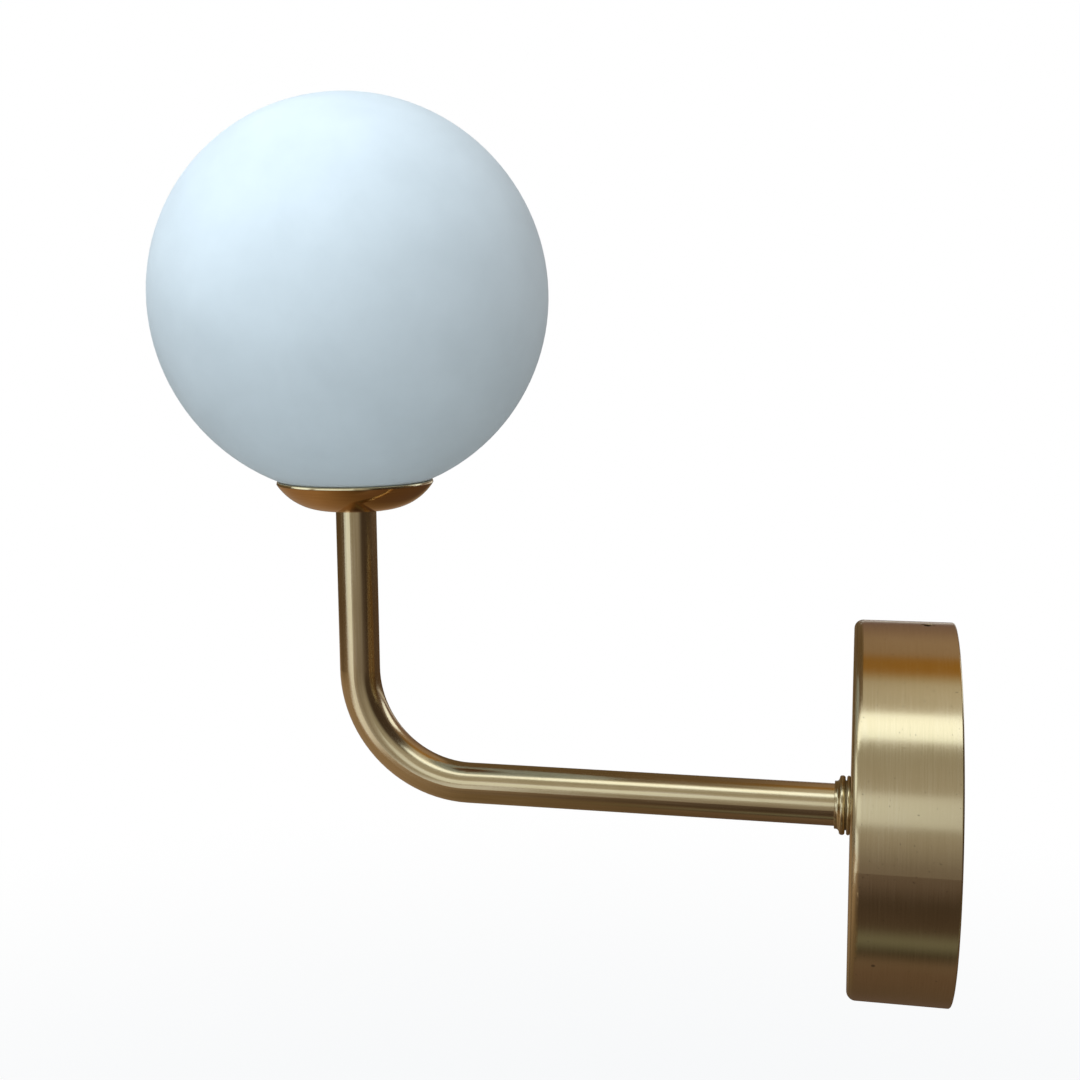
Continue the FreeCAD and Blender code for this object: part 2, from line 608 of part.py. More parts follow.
def make_terminal_block():
    """Two-way nylon block: a raised ridge over each way, cross bores and screw wells."""
    body = new_body("terminal_block", "out", "block_centre", "-strap_thickness", "0")
    foot = new_sketch(body, "XY_Plane", "block_outline")
    outline(foot, rounded_rectangle("block_width / 2", "block_length / 2", "block_edge"))
    pad(body, "block", foot, "block_height")
    shoulder = new_sketch(body, "XZ_Plane", "block_shoulder")
    outline(shoulder, rectangle("ridge_width / 2", "shoulder_height",
                                "block_width", "block_height + block_edge"))
    right_shoulder = pocket(body, "right_shoulder", shoulder)
    mirror(body, "left_shoulder", [right_shoulder], "YZ_Plane")
    ways = new_sketch(body, "YZ_Plane", "way_bores")
    for side in ("-", ""):
        add_circle(ways, f"{side}way_pitch / 2", "block_height / 2",
                   "barrel_diameter / 2 + slip_gap")
    pocket(body, "ways", ways)
    wells = new_sketch(body, "XY_Plane", "screw_well_outline", "block_height / 2")
    for across in ("-", ""):
        for along in ("-", ""):
            add_circle(wells, f"{across}clamp_pitch / 2", f"{along}way_pitch / 2",
                       "clamp_screw / 2 + slip_gap")
    pocket(body, "screw_wells", wells, "block_height", backwards=True)
    fixing = new_sketch(body, "XY_Plane", "fixing_hole_outline")
    add_circle(fixing, "0", "0", "fixing_screw / 2 + slip_gap")
    pocket(body, "fixing_hole", fixing)
    head = new_sketch(body, "XY_Plane", "fixing_head_outline", "head_seat")
    add_circle(head, "0", "0", "fixing_head / 2 + slip_gap")
    pocket(body, "fixing_head_well", head, "block_height", backwards=True)
    keep(body)

    barrels = new_body("terminal_barrels", "out", "block_centre", f"-{WAY_OUT}", "0")
    ring = new_sketch(barrels, "YZ_Plane", "barrel_ring", "-barrel_length / 2")
    add_circle(ring, "way_pitch / 2", "0", "barrel_diameter / 2")
    add_circle(ring, "way_pitch / 2", "0", "barrel_bore / 2")
    upper = pad(barrels, "upper_barrel", ring, "barrel_length")
    holes = new_sketch(barrels, "XY_Plane", "clamp_holes")
    for across in ("-", ""):
        add_circle(holes, f"{across}clamp_pitch / 2", "way_pitch / 2",
                   "clamp_screw / 2 + slip_gap / 2")
    tapped = pocket(barrels, "clamp_holes_cut", holes, "barrel_diameter", backwards=True)
    mirror(barrels, "lower_barrel", [upper, tapped], "XZ_Plane")
    keep(barrels)

    screws = new_body("terminal_screws", "out", "block_centre", f"-{WAY_OUT}", "0")
    shanks = new_sketch(screws, "XY_Plane", "clamp_screw_outlines", "wire_diameter / 2 + slip_gap")
    for across in ("-", ""):
        add_circle(shanks, f"{across}clamp_pitch / 2", "way_pitch / 2", "clamp_screw / 2")
    upper = pad(screws, "upper_clamp_screws", shanks, "clamp_screw_length")
    mirror(screws, "lower_clamp_screws", [upper], "XZ_Plane")
    keep(screws)


def pan_screw(name, shank, head, head_height, length, facing, **place_at):
    """Pan-head screw: the head's underside lies on the body's own XY plane."""
    body = new_body(name, facing, **place_at)
    revolve(body, f"{name}_turned", [
        ("0", f"-{length}"),
        (f"{shank} / 2", f"-{length}"),
        (f"{shank} / 2", "0"),
        (f"{head} / 2", "0"),
        (f"{head} / 2", f"{head_height} - head_round"),
        (f"{head} / 2 - head_round", head_height, "head_round", 1),
        ("0", head_height),
    ])
    slot = new_sketch(body, "XZ_Plane", f"{name}_slot_outline")
    outline(slot, rectangle("-screw_slot / 2", f"{head_height} - screw_slot_depth",
                            "screw_slot / 2", f"{head_height} + screw_slot_depth"))
    pocket(body, f"{name}_slot", slot)
    return body


def make_earth_set():
    """Earth screw with its washer and the ring terminals at both ends of the earth wire."""
    earth_tag("bracket_earth_tag", "(earth_screw / 2 + slip_gap)", "out", -1,
              x="-earth_centre", y="-strap_thickness")
    earth_tag("arm_earth_tag", "(nipple_diameter / 2 + slip_gap)", "wall", -1, y=f"-{TAG_OUT}")
    washer_out = "(strap_thickness + tag_thickness)"
    washer = new_body("earth_washer", "out", x="-earth_centre", y=f"-{washer_out}")
    revolve(washer, "earth_washer_ring", [
        ("earth_screw / 2 + slip_gap", "0"),
        ("earth_washer_width / 2", "0"),
        ("earth_washer_width / 2", "tag_thickness"),
        ("earth_screw / 2 + slip_gap", "tag_thickness"),
    ])
    keep(washer)
    keep(pan_screw("earth_screw", "earth_screw", "earth_head", "earth_head_height",
                   f"({washer_out} + tag_thickness - slip_gap)", "out",
                   x="-earth_centre", y=f"-({washer_out} + tag_thickness)"))
    keep(pan_screw("block_screw", "fixing_screw", "fixing_head", "fixing_head_height",
                   "(strap_thickness + head_seat - slip_gap)", "out",
                   x="block_centre", y="-(strap_thickness + head_seat)"))


# ---------------------------------------------------------------------------
# Canopy, collar and arm
# ---------------------------------------------------------------------------
def make_canopy():
    """Spun cup with a rounded front edge, open at the wall."""
    body = new_body("canopy", "out")
    inside = f"({CANOPY_R} - canopy_wall)"
    shelf = "(canopy_depth - canopy_round)"
    inner_round = "(canopy_round - canopy_wall)"
    hole = "nipple_diameter / 2 + slip_gap"
    revolve(body, "canopy_shell", [
        (inside, "0"),
        (f"{CANOPY_R} - canopy_rim_round", "0"),
        (CANOPY_R, "canopy_rim_round", "canopy_rim_round", 1),
        (CANOPY_R, shelf),
        (f"{CANOPY_R} - canopy_round", "canopy_depth", "canopy_round", 1),
        (hole, "canopy_depth"),
        (hole, TAG_OUT),
        (f"{CANOPY_R} - canopy_round", TAG_OUT),
        (inside, shelf, inner_round, -1),
    ])
    hole_sketch = new_sketch(body, "XZ_Plane", "grub_hole_outline")
    add_circle(hole_sketch, "0", "grub_out", "grub_diameter / 2 + slip_gap")
    pocket(body, "grub_holes", hole_sketch)
    keep(body)


def make_canopy_screws():
    """Headless screws at the top and bottom, flush with the canopy."""
    body = new_body("canopy_screws", "up", y="-grub_out")
    sketch = new_sketch(body, "XY_Plane", "grub_outline", f"{CANOPY_R} - grub_length - slip_gap")
    add_circle(sketch, "0", "0", "grub_diameter / 2")
    screw = pad(body, "grub_shank", sketch, "grub_length")
    socket = new_sketch(body, "XY_Plane", "grub_socket", f"{CANOPY_R} - slip_gap")
    outline(socket, hexagon("hex_socket"))
    cut = pocket(body, "grub_hex", socket, "hex_socket")
    mirror(body, "lower_grub", [screw, cut], "XY_Plane")
    keep(body)


def make_collar():
    """Turned collar: foot ring, two beads with a groove between, a cove and a thin step."""
    body = new_body("arm_collar", "out", y="-canopy_depth")
    bore = "nipple_diameter / 2 + slip_gap"
    socket = "tube_diameter / 2 + slip_gap / 2"
    bead_edge = "(collar_groove + bead_height)"
    revolve(body, "collar_turned", [
        (bore, "0"),
        ("collar_foot", "0"),
        ("collar_foot", "foot_height"),
        (bead_edge, "foot_height + collar_foot / 2 - (collar_groove + bead_height) / 2"),
        ("collar_groove", "groove_start", "bead_radius", 1),
        ("collar_groove", "groove_start + groove_width"),
        (bead_edge, "cove_start", "bead_radius_upper", 1),
        ("collar_step", "collar_length - step_height", "cove_radius", -1),
        ("collar_step", "collar_length"),
        (socket, "collar_length"),
        (socket, "collar_seat"),
        (bore, "collar_seat"),
    ])
    keep(body)


def make_arm_tube():
    """Round tube swept along a run out from the wall, a bend and an upright run."""
    body = new_body("arm_tube")
    route = new_sketch(body, "YZ_Plane", "tube_route")
    outline(route, [
        (f"-{TUBE_END_OUT}", "0"),
        ("bend_radius - arm_reach", "0"),
        ("-arm_reach", "bend_radius", "bend_radius", -1),
        ("-arm_reach", FLOOR_Z),
    ], closed=False)
    ring = new_sketch(body, "XZ_Plane", "tube_section", TUBE_END_OUT)
    add_circle(ring, "0", "0", "tube_diameter / 2")
    add_circle(ring, "0", "0", f"{TUBE_BORE} / 2")
    pipe = body.newObject("PartDesign::AdditivePipe", "bent_tube")
    pipe.Profile = ring
    pipe.Spine = (route, ["Edge1", "Edge2", "Edge3"])
    body.Tip = pipe
    doc.recompute()
    keep(body)


def make_arm_fittings():
    """What clamps the arm to the canopy, from inside it."""
    hollow_nipple("arm_nipple", "out", f"({TUBE_END_OUT} + nipple_grip - {NIPPLE_OUT})",
                  y=f"-{NIPPLE_OUT}")
    washer = new_body("arm_washer", "wall", y=f"-{WASHER_OUT}")
    revolve(washer, "arm_washer_ring", [
        ("nipple_diameter / 2 + slip_gap", "0"),
        ("washer_diameter / 2", "0"),
        ("washer_diameter / 2", "washer_thickness"),
        ("nipple_diameter / 2 + slip_gap", "washer_thickness"),
    ])
    keep(washer)
    hex_nut("arm_nut", "wall", y=f"-{NUT_OUT}")
    wire_bush("arm_bush", "wall", y=f"-{NIPPLE_OUT}")


# ---------------------------------------------------------------------------
# Dish, shade carrier and lampholder
# ---------------------------------------------------------------------------
def make_dish():
    """Spun dish: flat floor on the tube, a curved side and a plain rim under the glass."""
    body = upright_body("dish", FLOOR_Z)
    rise = "(dish_corner - dish_depth)"
    floor_radius = f"(dish_rim_radius - sqrt(dish_corner^2 - {rise}^2))"
    inner_corner = "(dish_corner - dish_wall)"
    inner_rim = f"({floor_radius} + sqrt({inner_corner}^2 - {rise}^2))"
    hole = "nipple_diameter / 2 + slip_gap"
    revolve(body, "dish_shell", [
        (hole, "0"),
        (floor_radius, "0"),
        ("dish_rim_radius", "dish_depth", "dish_corner", 1),
        (inner_rim, "dish_depth"),
        (floor_radius, "dish_wall", inner_corner, -1),
        (hole, "dish_wall"),
    ])
    keep(body)


def make_shade_carrier():
    """Threaded cup that the glass screws onto, with the ring below it."""
    hollow_nipple("holder_nipple", "up", f"({HOLDER_NIPPLE_Z} - {FLOOR_Z} + nipple_grip)",
                  y="-arm_reach", z=f"{FLOOR_Z} - nipple_grip")
    hole = "nipple_diameter / 2 + slip_gap"
    spacer = upright_body("carrier_spacer", SPACER_Z)
    revolve(spacer, "spacer_ring", [
        (hole, "0"),
        ("spacer_diameter / 2", "0"),
        ("spacer_diameter / 2", "spacer_height"),
        (hole, "spacer_height"),
    ])
    keep(spacer)
    carrier = upright_body("shade_carrier", CARRIER_Z)
    inside = "(carrier_radius - carrier_wall)"
    revolve(carrier, "carrier_cup", [
        (hole, "0"),
        ("carrier_radius - carrier_corner", "0"),
        ("carrier_radius", "carrier_corner", "carrier_corner", 1),
        ("carrier_radius", "carrier_height - thread_bevel"),
        ("carrier_radius - thread_bevel", "carrier_height"),
        (inside, "carrier_height"),
        (inside, "carrier_floor + carrier_corner_inside"),
        (f"{inside} - carrier_corner_inside", "carrier_floor", "carrier_corner_inside", -1),
        (hole, "carrier_floor"),
    ])
    keep(carrier)
    hex_nut("carrier_nut", "up", y="-arm_reach", z=HOLDER_NUT_Z)
    wire_bush("holder_bush", "up", y="-arm_reach", z=HOLDER_NIPPLE_Z)


def make_cradle():
    """Bent strap under the nut whose arms hold the lampholder from both sides."""
    body = upright_body("holder_cradle", CRADLE_Z)
    inside = "(holder_depth / 2 + slip_gap)"
    outside = f"({inside} + cradle_thickness)"
    bend_out = "(cradle_bend + cradle_thickness)"
    top = "(cradle_thickness + holder_rise + holder_screw_height + arm_end)"
    side = new_sketch(body, "YZ_Plane", "cradle_side")
    outline(side, [
        (f"{outside} - {bend_out}", "0"),
        (outside, bend_out, bend_out, 1),
        (outside, top),
        (inside, top),
        (inside, bend_out),
        (f"{inside} - cradle_bend", "cradle_thickness", "cradle_bend", -1),
        (f"cradle_bend - {inside}", "cradle_thickness"),
        (f"-{inside}", bend_out, "cradle_bend", -1),
        (f"-{inside}", top),
        (f"-{outside}", top),
        (f"-{outside}", bend_out),
        (f"{bend_out} - {outside}", "0", bend_out, 1),
    ])
    pad(body, "cradle_strap", side, "cradle_foot", both_sides=True)
    taper = new_sketch(body, "XZ_Plane", "cradle_arm_relief")
    beyond = "(cradle_foot / 2 + cradle_thickness)"
    outline(taper, [
        (beyond, f"{bend_out} + shoulder_low"),
        (beyond, f"{top} + cradle_thickness"),
        ("cradle_width / 2", f"{top} + cradle_thickness"),
        ("cradle_width / 2", f"{bend_out} + shoulder_high"),
    ])
    relief = pocket(body, "arm_relief", taper)
    mirror(body, "other_relief", [relief], "YZ_Plane")
    centre = new_sketch(body, "XY_Plane", "cradle_nipple_hole")
    add_circle(centre, "0", "0", "nipple_diameter / 2 + slip_gap")
    pocket(body, "nipple_hole", centre)
    screws = new_sketch(body, "XZ_Plane", "cradle_screw_hole")
    add_circle(screws, "0", "cradle_thickness + holder_rise + holder_screw_height",
               "fixing_screw / 2 + slip_gap")
    pocket(body, "screw_holes", screws)
    keep(body)

    screws = new_body("holder_screws", "out", "0", "-arm_reach",
                      f"{HOLDER_Z} + holder_screw_height")
    shank_end = "(holder_depth / 2 - holder_screw_grip)"
    under_head = outside
    revolve(screws, "near_screw", [
        ("0", shank_end),
        ("fixing_screw / 2", shank_end),
        ("fixing_screw / 2", under_head),
        ("fixing_head / 2", under_head),
        ("fixing_head / 2", f"{under_head} + fixing_head_height - head_round"),
        ("fixing_head / 2 - head_round", f"{under_head} + fixing_head_height", "head_round", 1),
        ("0", f"{under_head} + fixing_head_height"),
    ])
    mirror(screws, "far_screw", [screws.Tip], "XY_Plane")
    keep(screws)


def make_lampholder():
    """Ceramic block with a recess for the lamp's foot, two contact slots and wire holes."""
    body = upright_body("lampholder", HOLDER_Z)
    foot = new_sketch(body, "XY_Plane", "holder_outline")
    outline(foot, rounded_rectangle("holder_width / 2", "holder_depth / 2", "holder_round"))
    pad(body, "holder_block", foot, "holder_height")
    recess = new_sketch(body, "XY_Plane", "recess_outline", "holder_height")
    outline(recess, rounded_rectangle("(foot_width / 2 + recess_gap)",
                                      "(foot_depth / 2 + recess_gap)", "recess_round"))
    pocket(body, "recess", recess, "recess_depth")
    slots = new_sketch(body, "XY_Plane", "contact_slots", "holder_height - recess_depth")
    half_width = "(contact_width / 2 + slip_gap)"
    half_depth = "(contact_gap / 2 + contact_sheet + slip_gap)"
    wire_holes = new_sketch(body, "XY_Plane", "wire_holes")
    for side in (-1, 1):
        middle = f"{side} * contact_spacing / 2"
        outline(slots, rectangle(f"{middle} - {half_width}", f"-{half_depth}",
                                 f"{middle} + {half_width}", half_depth))
        add_circle(wire_holes, middle, "0", "wire_diameter / 2 + slip_gap")
    pocket(body, "contact_slots_cut", slots, "slot_depth")
    pocket(body, "wire_holes_cut", wire_holes, "holder_height - recess_depth", backwards=True)
    screw_hole = new_sketch(body, "XZ_Plane", "holder_screw_hole", "holder_depth / 2")
    add_circle(screw_hole, "0", "holder_screw_height", "fixing_screw / 2 + slip_gap / 2")
    near_hole = pocket(body, "near_screw_hole", screw_hole, "holder_screw_grip + 2 * slip_gap")
    mirror(body, "far_screw_hole", [near_hole], "XZ_Plane")
    keep(body)

    contacts = upright_body("holder_contacts", f"{RECESS_Z} - slot_depth + slip_gap")
    inner = "(contact_gap / 2)"
    outer = f"({inner} + contact_sheet)"
    top = "(slot_depth - contact_drop)"
    clip = new_sketch(contacts, "YZ_Plane", "contact_clip",
                      "contact_spacing / 2 - contact_width / 2")
    outline(clip, [
        (outer, "0"),
        (outer, top),
        (inner, top),
        (inner, "contact_sheet"),
        (f"-{inner}", "contact_sheet"),
        (f"-{inner}", top),
        (f"-{outer}", top),
        (f"-{outer}", "0"),
    ])
    right = pad(contacts, "right_contact", clip, "contact_width")
    mirror(contacts, "left_contact", [right], "YZ_Plane")
    keep(contacts)


# ---------------------------------------------------------------------------
# Lamp
# ---------------------------------------------------------------------------
def make_lamp():
    """Plug-in capsule lamp: a flat foot with two pin loops, a round body and a clear cover."""
    radius = "(lamp_diameter / 2)"
    neck = f"({radius} - cover_wall - slip_gap)"
    base = upright_body("lamp_base", LAMP_Z)
    foot = new_sketch(base, "XY_Plane", "lamp_foot_outline")
    outline(foot, rounded_rectangle("foot_width / 2", "foot_depth / 2", "foot_round"))
    pad(base, "lamp_foot", foot, "lamp_foot_height + slip_gap")
    revolve(base, "lamp_barrel", [
        ("0", "lamp_foot_height"),
        (f"{radius} - lamp_shoulder", "lamp_foot_height"),
        (radius, "lamp_foot_height + lamp_shoulder", "lamp_shoulder", 1),
        (radius, "lamp_foot_height + lamp_body"),
        (neck, "lamp_foot_height + lamp_body"),
        (neck, "lamp_foot_height + lamp_body + lamp_neck"),
        ("0", "lamp_foot_height + lamp_body + lamp_neck"),
    ])
    keep(base)

    pins = upright_body("lamp_pins", LAMP_Z)
    centre_half = "((pin_width - pin_wire) / 2)"
    left = f"(contact_spacing / 2 - {centre_half})"
    right = f"(contact_spacing / 2 + {centre_half})"
    turn = f"(pin_wire / 2 - pin_length + {centre_half})"
    route = new_sketch(pins, "XZ_Plane", "pin_route")
    outline(route, [
        (left, "0"),
        (left, turn),
        ("contact_spacing / 2", f"{turn} - {centre_half}", centre_half, 1),
        (right, turn, centre_half, 1),
        (right, "0"),
    ], closed=False)
    section = new_sketch(pins, "XY_Plane", "pin_section")
    add_circle(section, left, "0", "pin_wire / 2")
    loop = pins.newObject("PartDesign::AdditivePipe", "right_pin")
    loop.Profile = section
    loop.Spine = (route, ["Edge1", "Edge2", "Edge3", "Edge4"])
    pins.Tip = loop
    doc.recompute()
    mirror(pins, "left_pin", [loop], "YZ_Plane")
    keep(pins)

    cover = upright_body("lamp_cover", LAMP_NECK_Z)
    inner = f"({radius} - cover_wall)"
    revolve(cover, "cover_shell", [
        (inner, "slip_gap"),
        (radius, "slip_gap"),
        (radius, f"cover_height - {radius}"),
        ("0", "cover_height", radius, 1),
        ("0", "cover_height - cover_wall"),
        (inner, f"cover_height - {radius}", inner, -1),
    ])
    keep(cover)

    board = upright_body("lamp_board", f"{LAMP_NECK_Z} + lamp_neck")
    plate = new_sketch(board, "XZ_Plane", "board_outline")
    outline(plate, [
        ("board_width / 2", "0"),
        ("board_width / 2", "board_height - board_corner"),
        ("board_width / 2 - board_corner", "board_height"),
        ("board_corner - board_width / 2", "board_height"),
        ("-board_width / 2", "board_height - board_corner"),
        ("-board_width / 2", "0"),
    ])
    pad(board, "board_plate", plate, "board_thickness", both_sides=True)
    keep(board)

    chips = upright_body("lamp_chips", f"{LAMP_NECK_Z} + lamp_neck")
    chip = new_sketch(chips, "XZ_Plane", "chip_outline", "board_thickness / 2")
    column = "board_width / 4"
    outline(chip, rectangle(f"{column} - chip_width / 2", "chip_start",
                            f"{column} + chip_width / 2", "chip_start + chip_height"))
    one = pad(chips, "chip", chip, "chip_thickness")
    row = chips.newObject("PartDesign::MultiTransform", "chip_rows")
    chips.Tip = row
    row.Originals = [one]
    steps = []
    up = chips.newObject("PartDesign::LinearPattern", "chips_up")
    up.Direction = (origin_plane(chips, "Z_Axis"), [""])
    up.setExpression("Length", sized("chip_pitch * (chip_count - 1)"))
    up.setExpression("Occurrences", sized("chip_count"))
    steps.append(up)
    for name, role in (("chips_across", "YZ_Plane"), ("chips_behind", "XZ_Plane")):
        flipped = chips.newObject("PartDesign::Mirrored", name)
        flipped.MirrorPlane = (origin_plane(chips, role), [""])
        steps.append(flipped)
    row.Transformations = steps
    chips.Tip = row
    doc.recompute()
    keep(chips)


# ---------------------------------------------------------------------------
# Glass
# ---------------------------------------------------------------------------
def make_globe():
    """Blown ball with a collar turned in at the mouth, which carries the thread inside."""
    body = upright_body("globe", "globe_height")
    bore = "(mouth_bore / 2)"
    inner = f"({GLOBE_R} - glass_wall)"
    lip = f"({MOUTH_Z} - globe_height)"
    revolve(body, "globe_shell", [
        (f"{bore} + lip_round", lip, "lip_round", 1),
        (f"{MOUTH_R} - lip_round", lip),
        (MOUTH_R, f"{lip} + lip_round", "lip_round", 1),
        (MOUTH_R, f"-sqrt({GLOBE_R}^2 - {MOUTH_R}^2)"),
        ("0", GLOBE_R, GLOBE_R, 1),
        ("0", inner),
        (MOUTH_R, f"-sqrt({inner}^2 - {MOUTH_R}^2)", inner, -1),
        (MOUTH_R, f"{lip} + mouth_depth - lip_round"),
        (f"{MOUTH_R} - lip_round", f"{lip} + mouth_depth", "lip_round", 1),
        (f"{bore} + lip_round", f"{lip} + mouth_depth"),
        (bore, f"{lip} + mouth_depth - lip_round", "lip_round", 1),
        (bore, f"{lip} + lip_round"),
    ])
    keep(body)


def make_gasket():
    """Soft ring between the dish's rim and the glass, with an edge that hangs inside the rim."""
    body = upright_body("glass_gasket", "globe_height")
    rise = "(dish_corner - dish_depth)"
    floor_radius = f"(dish_rim_radius - sqrt(dish_corner^2 - {rise}^2))"
    inner_rim = f"({floor_radius} + sqrt((dish_corner - dish_wall)^2 - {rise}^2))"
    outer = "(dish_rim_radius - slip_gap)"
    inner = f"({outer} - gasket_width)"
    hang = f"({inner_rim} - seat_gap)"
    ball = f"({GLOBE_R} + seat_gap)"
    bottom = f"({RIM_Z} - globe_height + slip_gap)"
    revolve(body, "gasket_ring", [
        (inner, f"{bottom} - gasket_drop"),
        (f"{hang} - gasket_drop", f"{bottom} - gasket_drop"),
        (hang, bottom),
        (outer, bottom),
        (outer, f"-sqrt({ball}^2 - {outer}^2)"),
        (inner, f"-sqrt({ball}^2 - {inner}^2)", ball, -1),
    ])
    keep(body)


# ---------------------------------------------------------------------------
# Wires: straight runs joined by round bends
# ---------------------------------------------------------------------------
def wire_solid(name, points, radii):
    """A round wire through the points, bent at each inner point with the radius given for it."""
    corners = [FreeCAD.Vector(*point) for point in points]
    edges = []
    start = corners[0]
    for index, radius in enumerate(radii, start=1):
        corner = corners[index]
        back = (corners[index - 1] - corner).normalize()
        ahead = (corners[index + 1] - corner).normalize()
        half_turn = (math.pi - back.getAngle(ahead)) / 2
        tangent = radius * math.tan(half_turn)
        arc_start = corner + back * tangent
        arc_end = corner + ahead * tangent
        inward = (back + ahead).normalize()
        arc_middle = corner + inward * (radius / math.cos(half_turn) - radius)
        edges.append(Part.LineSegment(start, arc_start).toShape())
        edges.append(Part.Arc(arc_start, arc_middle, arc_end).toShape())
        start = arc_end
    edges.append(Part.LineSegment(start, corners[-1]).toShape())
    route = Part.Wire(edges)
    along = (corners[1] - corners[0]).normalize()
    ring = Part.Circle(corners[0], along, number("wire_diameter") / 2)
    solid = route.makePipeShell([Part.Wire([ring.toShape()])], True, False)
    plain = math.pi * number("wire_diameter")**2 / 4 * route.Length
    print(f"{name}: length {route.Length:.1f}, volume {solid.Volume:.1f} of {plain:.1f}, radii {radii}")
    if abs(solid.Volume - plain) > plain * 0.01:
        raise RuntimeError(f"{name} is pinched")
    piece = doc.addObject("Part::Feature", name)
    piece.Label = name
    piece.Shape = solid
    piece.Placement = FreeCAD.Placement()
    return keep(piece)


def make_wires():
    """Live and neutral from the terminal block through the arm to the lampholder, and earth."""
    reach = number("arm_reach")
    apart = number("wire_spacing") / 2
    contact = number("contact_spacing") / 2
    top = number(f"{RECESS_Z} - slot_depth")
    foot = number(HOLDER_Z)
    bush = number(f"{HOLDER_NIPPLE_Z} + bush_flange")
    bend = number("bend_radius")
    way_out = number(WAY_OUT)
    way = number("way_pitch") / 2
    block_face = number("block_centre - block_width / 2")
    barrel_in = number("block_centre - barrel_length / 2 + barrel_lead")
    nipple_out = number(NIPPLE_OUT)
    lead_in = block_face - number("block_lead")
    holder_bend = number("holder_lead_bend")
    for name, side, turn_out in (("live_wire", 1, nipple_out - number("live_turn")),
                                 ("neutral_wire", -1, way_out)):
        wire_solid(name, [
            (side * contact, -reach, top - number("slip_gap")),
            (side * contact, -reach, foot - number("holder_lead")),
            (side * apart, -reach, bush + number("bush_lead")),
            (side * apart, -reach, 0),
            (side * apart, -turn_out, 0),
            (lead_in, -way_out, side * way),
            (barrel_in, -way_out, side * way),
        ], [holder_bend, holder_bend, bend, number("canopy_lead_bend"), number("block_lead_bend")])

    tag_axis = number("crimp_lift")
    canopy_end_x = -number("(nipple_diameter / 2 + slip_gap) + 1.5 * tag_rim + crimp_length / 3")
    bracket_end_x = -number("earth_centre + (earth_screw / 2 + slip_gap) + 1.5 * tag_rim"
                            " + crimp_length / 3")
    arm_out = number(TAG_OUT) - tag_axis
    bracket_out = number("strap_thickness") + tag_axis
    loop_x = bracket_end_x - number("earth_loop")
    loop_radius = number("earth_loop_share") * (arm_out - bracket_out)
    wire_solid("earth_wire", [
        (canopy_end_x, -arm_out, 0),
        (loop_x, -arm_out, 0),
        (loop_x, -bracket_out, 0),
        (bracket_end_x, -bracket_out, 0),
    ], [loop_radius, loop_radius])


make_wall_bracket()
make_terminal_block()
make_earth_set()
make_canopy()
make_canopy_screws()
make_collar()
make_arm_tube()
make_arm_fittings()
make_dish()
make_shade_carrier()
make_cradle()
make_lampholder()
make_lamp()
make_globe()
make_gasket()
make_wires()
doc.recompute()

# ---------------------------------------------------------------------------
# Every object must be sound before anything is written
# ---------------------------------------------------------------------------
for thing in doc.Objects:
    if "Invalid" in thing.State or "Error" in thing.State:
        raise RuntimeError(f"{thing.Name} failed: {thing.State}")
for piece in parts:
    if piece.Shape.isNull() or not piece.Shape.isValid():
        raise RuntimeError(f"{piece.Label} has no sound shape")

os.makedirs("parts", exist_ok=True)
for piece in parts:
    piece.Shape.exportStep(f"parts/{piece.Label}.step")
    print(f"{piece.Label}: {len(piece.Shape.Solids)} solid, {piece.Shape.Volume:.1f} mm3")
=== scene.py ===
# %% [markdown]
# # Globe wall sconce
# A round brass canopy sits on the wall, a bent tube leaves it, and a satin opal
# globe screws down into a shallow dish at the tube's top. The imported CAD model
# already holds every solid piece in its real place. This lesson gives those
# pieces their finishes and adds what a CAD model leaves out, such as threads.
#
# The frame is loaded first, because all that follows is placed by it. Its box is
# measured at once; the floor is placed by it.

# %% The imported model
import json
import math

import bmesh
import bpy
from mathutils import Matrix, Vector


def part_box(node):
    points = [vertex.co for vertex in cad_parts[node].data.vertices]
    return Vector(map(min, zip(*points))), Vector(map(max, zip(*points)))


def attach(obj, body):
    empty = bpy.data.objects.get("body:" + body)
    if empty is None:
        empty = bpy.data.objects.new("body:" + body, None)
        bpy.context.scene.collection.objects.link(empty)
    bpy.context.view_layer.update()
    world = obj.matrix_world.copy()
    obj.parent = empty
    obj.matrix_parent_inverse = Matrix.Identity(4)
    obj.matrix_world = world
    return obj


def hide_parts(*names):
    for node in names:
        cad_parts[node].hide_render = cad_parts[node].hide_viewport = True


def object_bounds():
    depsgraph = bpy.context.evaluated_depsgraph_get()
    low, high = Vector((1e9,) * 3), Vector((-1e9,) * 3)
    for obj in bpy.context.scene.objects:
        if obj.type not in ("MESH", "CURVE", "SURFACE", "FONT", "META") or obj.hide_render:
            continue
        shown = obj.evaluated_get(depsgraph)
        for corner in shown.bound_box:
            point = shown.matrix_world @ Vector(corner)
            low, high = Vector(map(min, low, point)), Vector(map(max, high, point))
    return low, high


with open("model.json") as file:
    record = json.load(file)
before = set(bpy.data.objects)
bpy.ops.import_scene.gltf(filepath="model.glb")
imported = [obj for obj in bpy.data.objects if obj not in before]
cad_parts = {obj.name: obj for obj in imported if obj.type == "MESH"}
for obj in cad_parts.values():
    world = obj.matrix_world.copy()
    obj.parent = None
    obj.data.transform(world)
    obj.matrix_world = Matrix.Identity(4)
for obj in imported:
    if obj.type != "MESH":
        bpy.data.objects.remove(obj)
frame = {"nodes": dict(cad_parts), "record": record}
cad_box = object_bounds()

MM = 0.001
print("CAD box in mm:", [[round(v / MM, 1) for v in corner] for corner in cad_box])

# %% [markdown]
# ## Colours and nodes
# Colours are picked on screen, as sRGB hex values, while shaders count in linear
# light, so one function turns the first into the second. A second function adds
# a node: its settings are named, and an input takes a number, a colour or the
# socket of another node. With two more, to start a finish and to close it, each
# finish reads as a list.

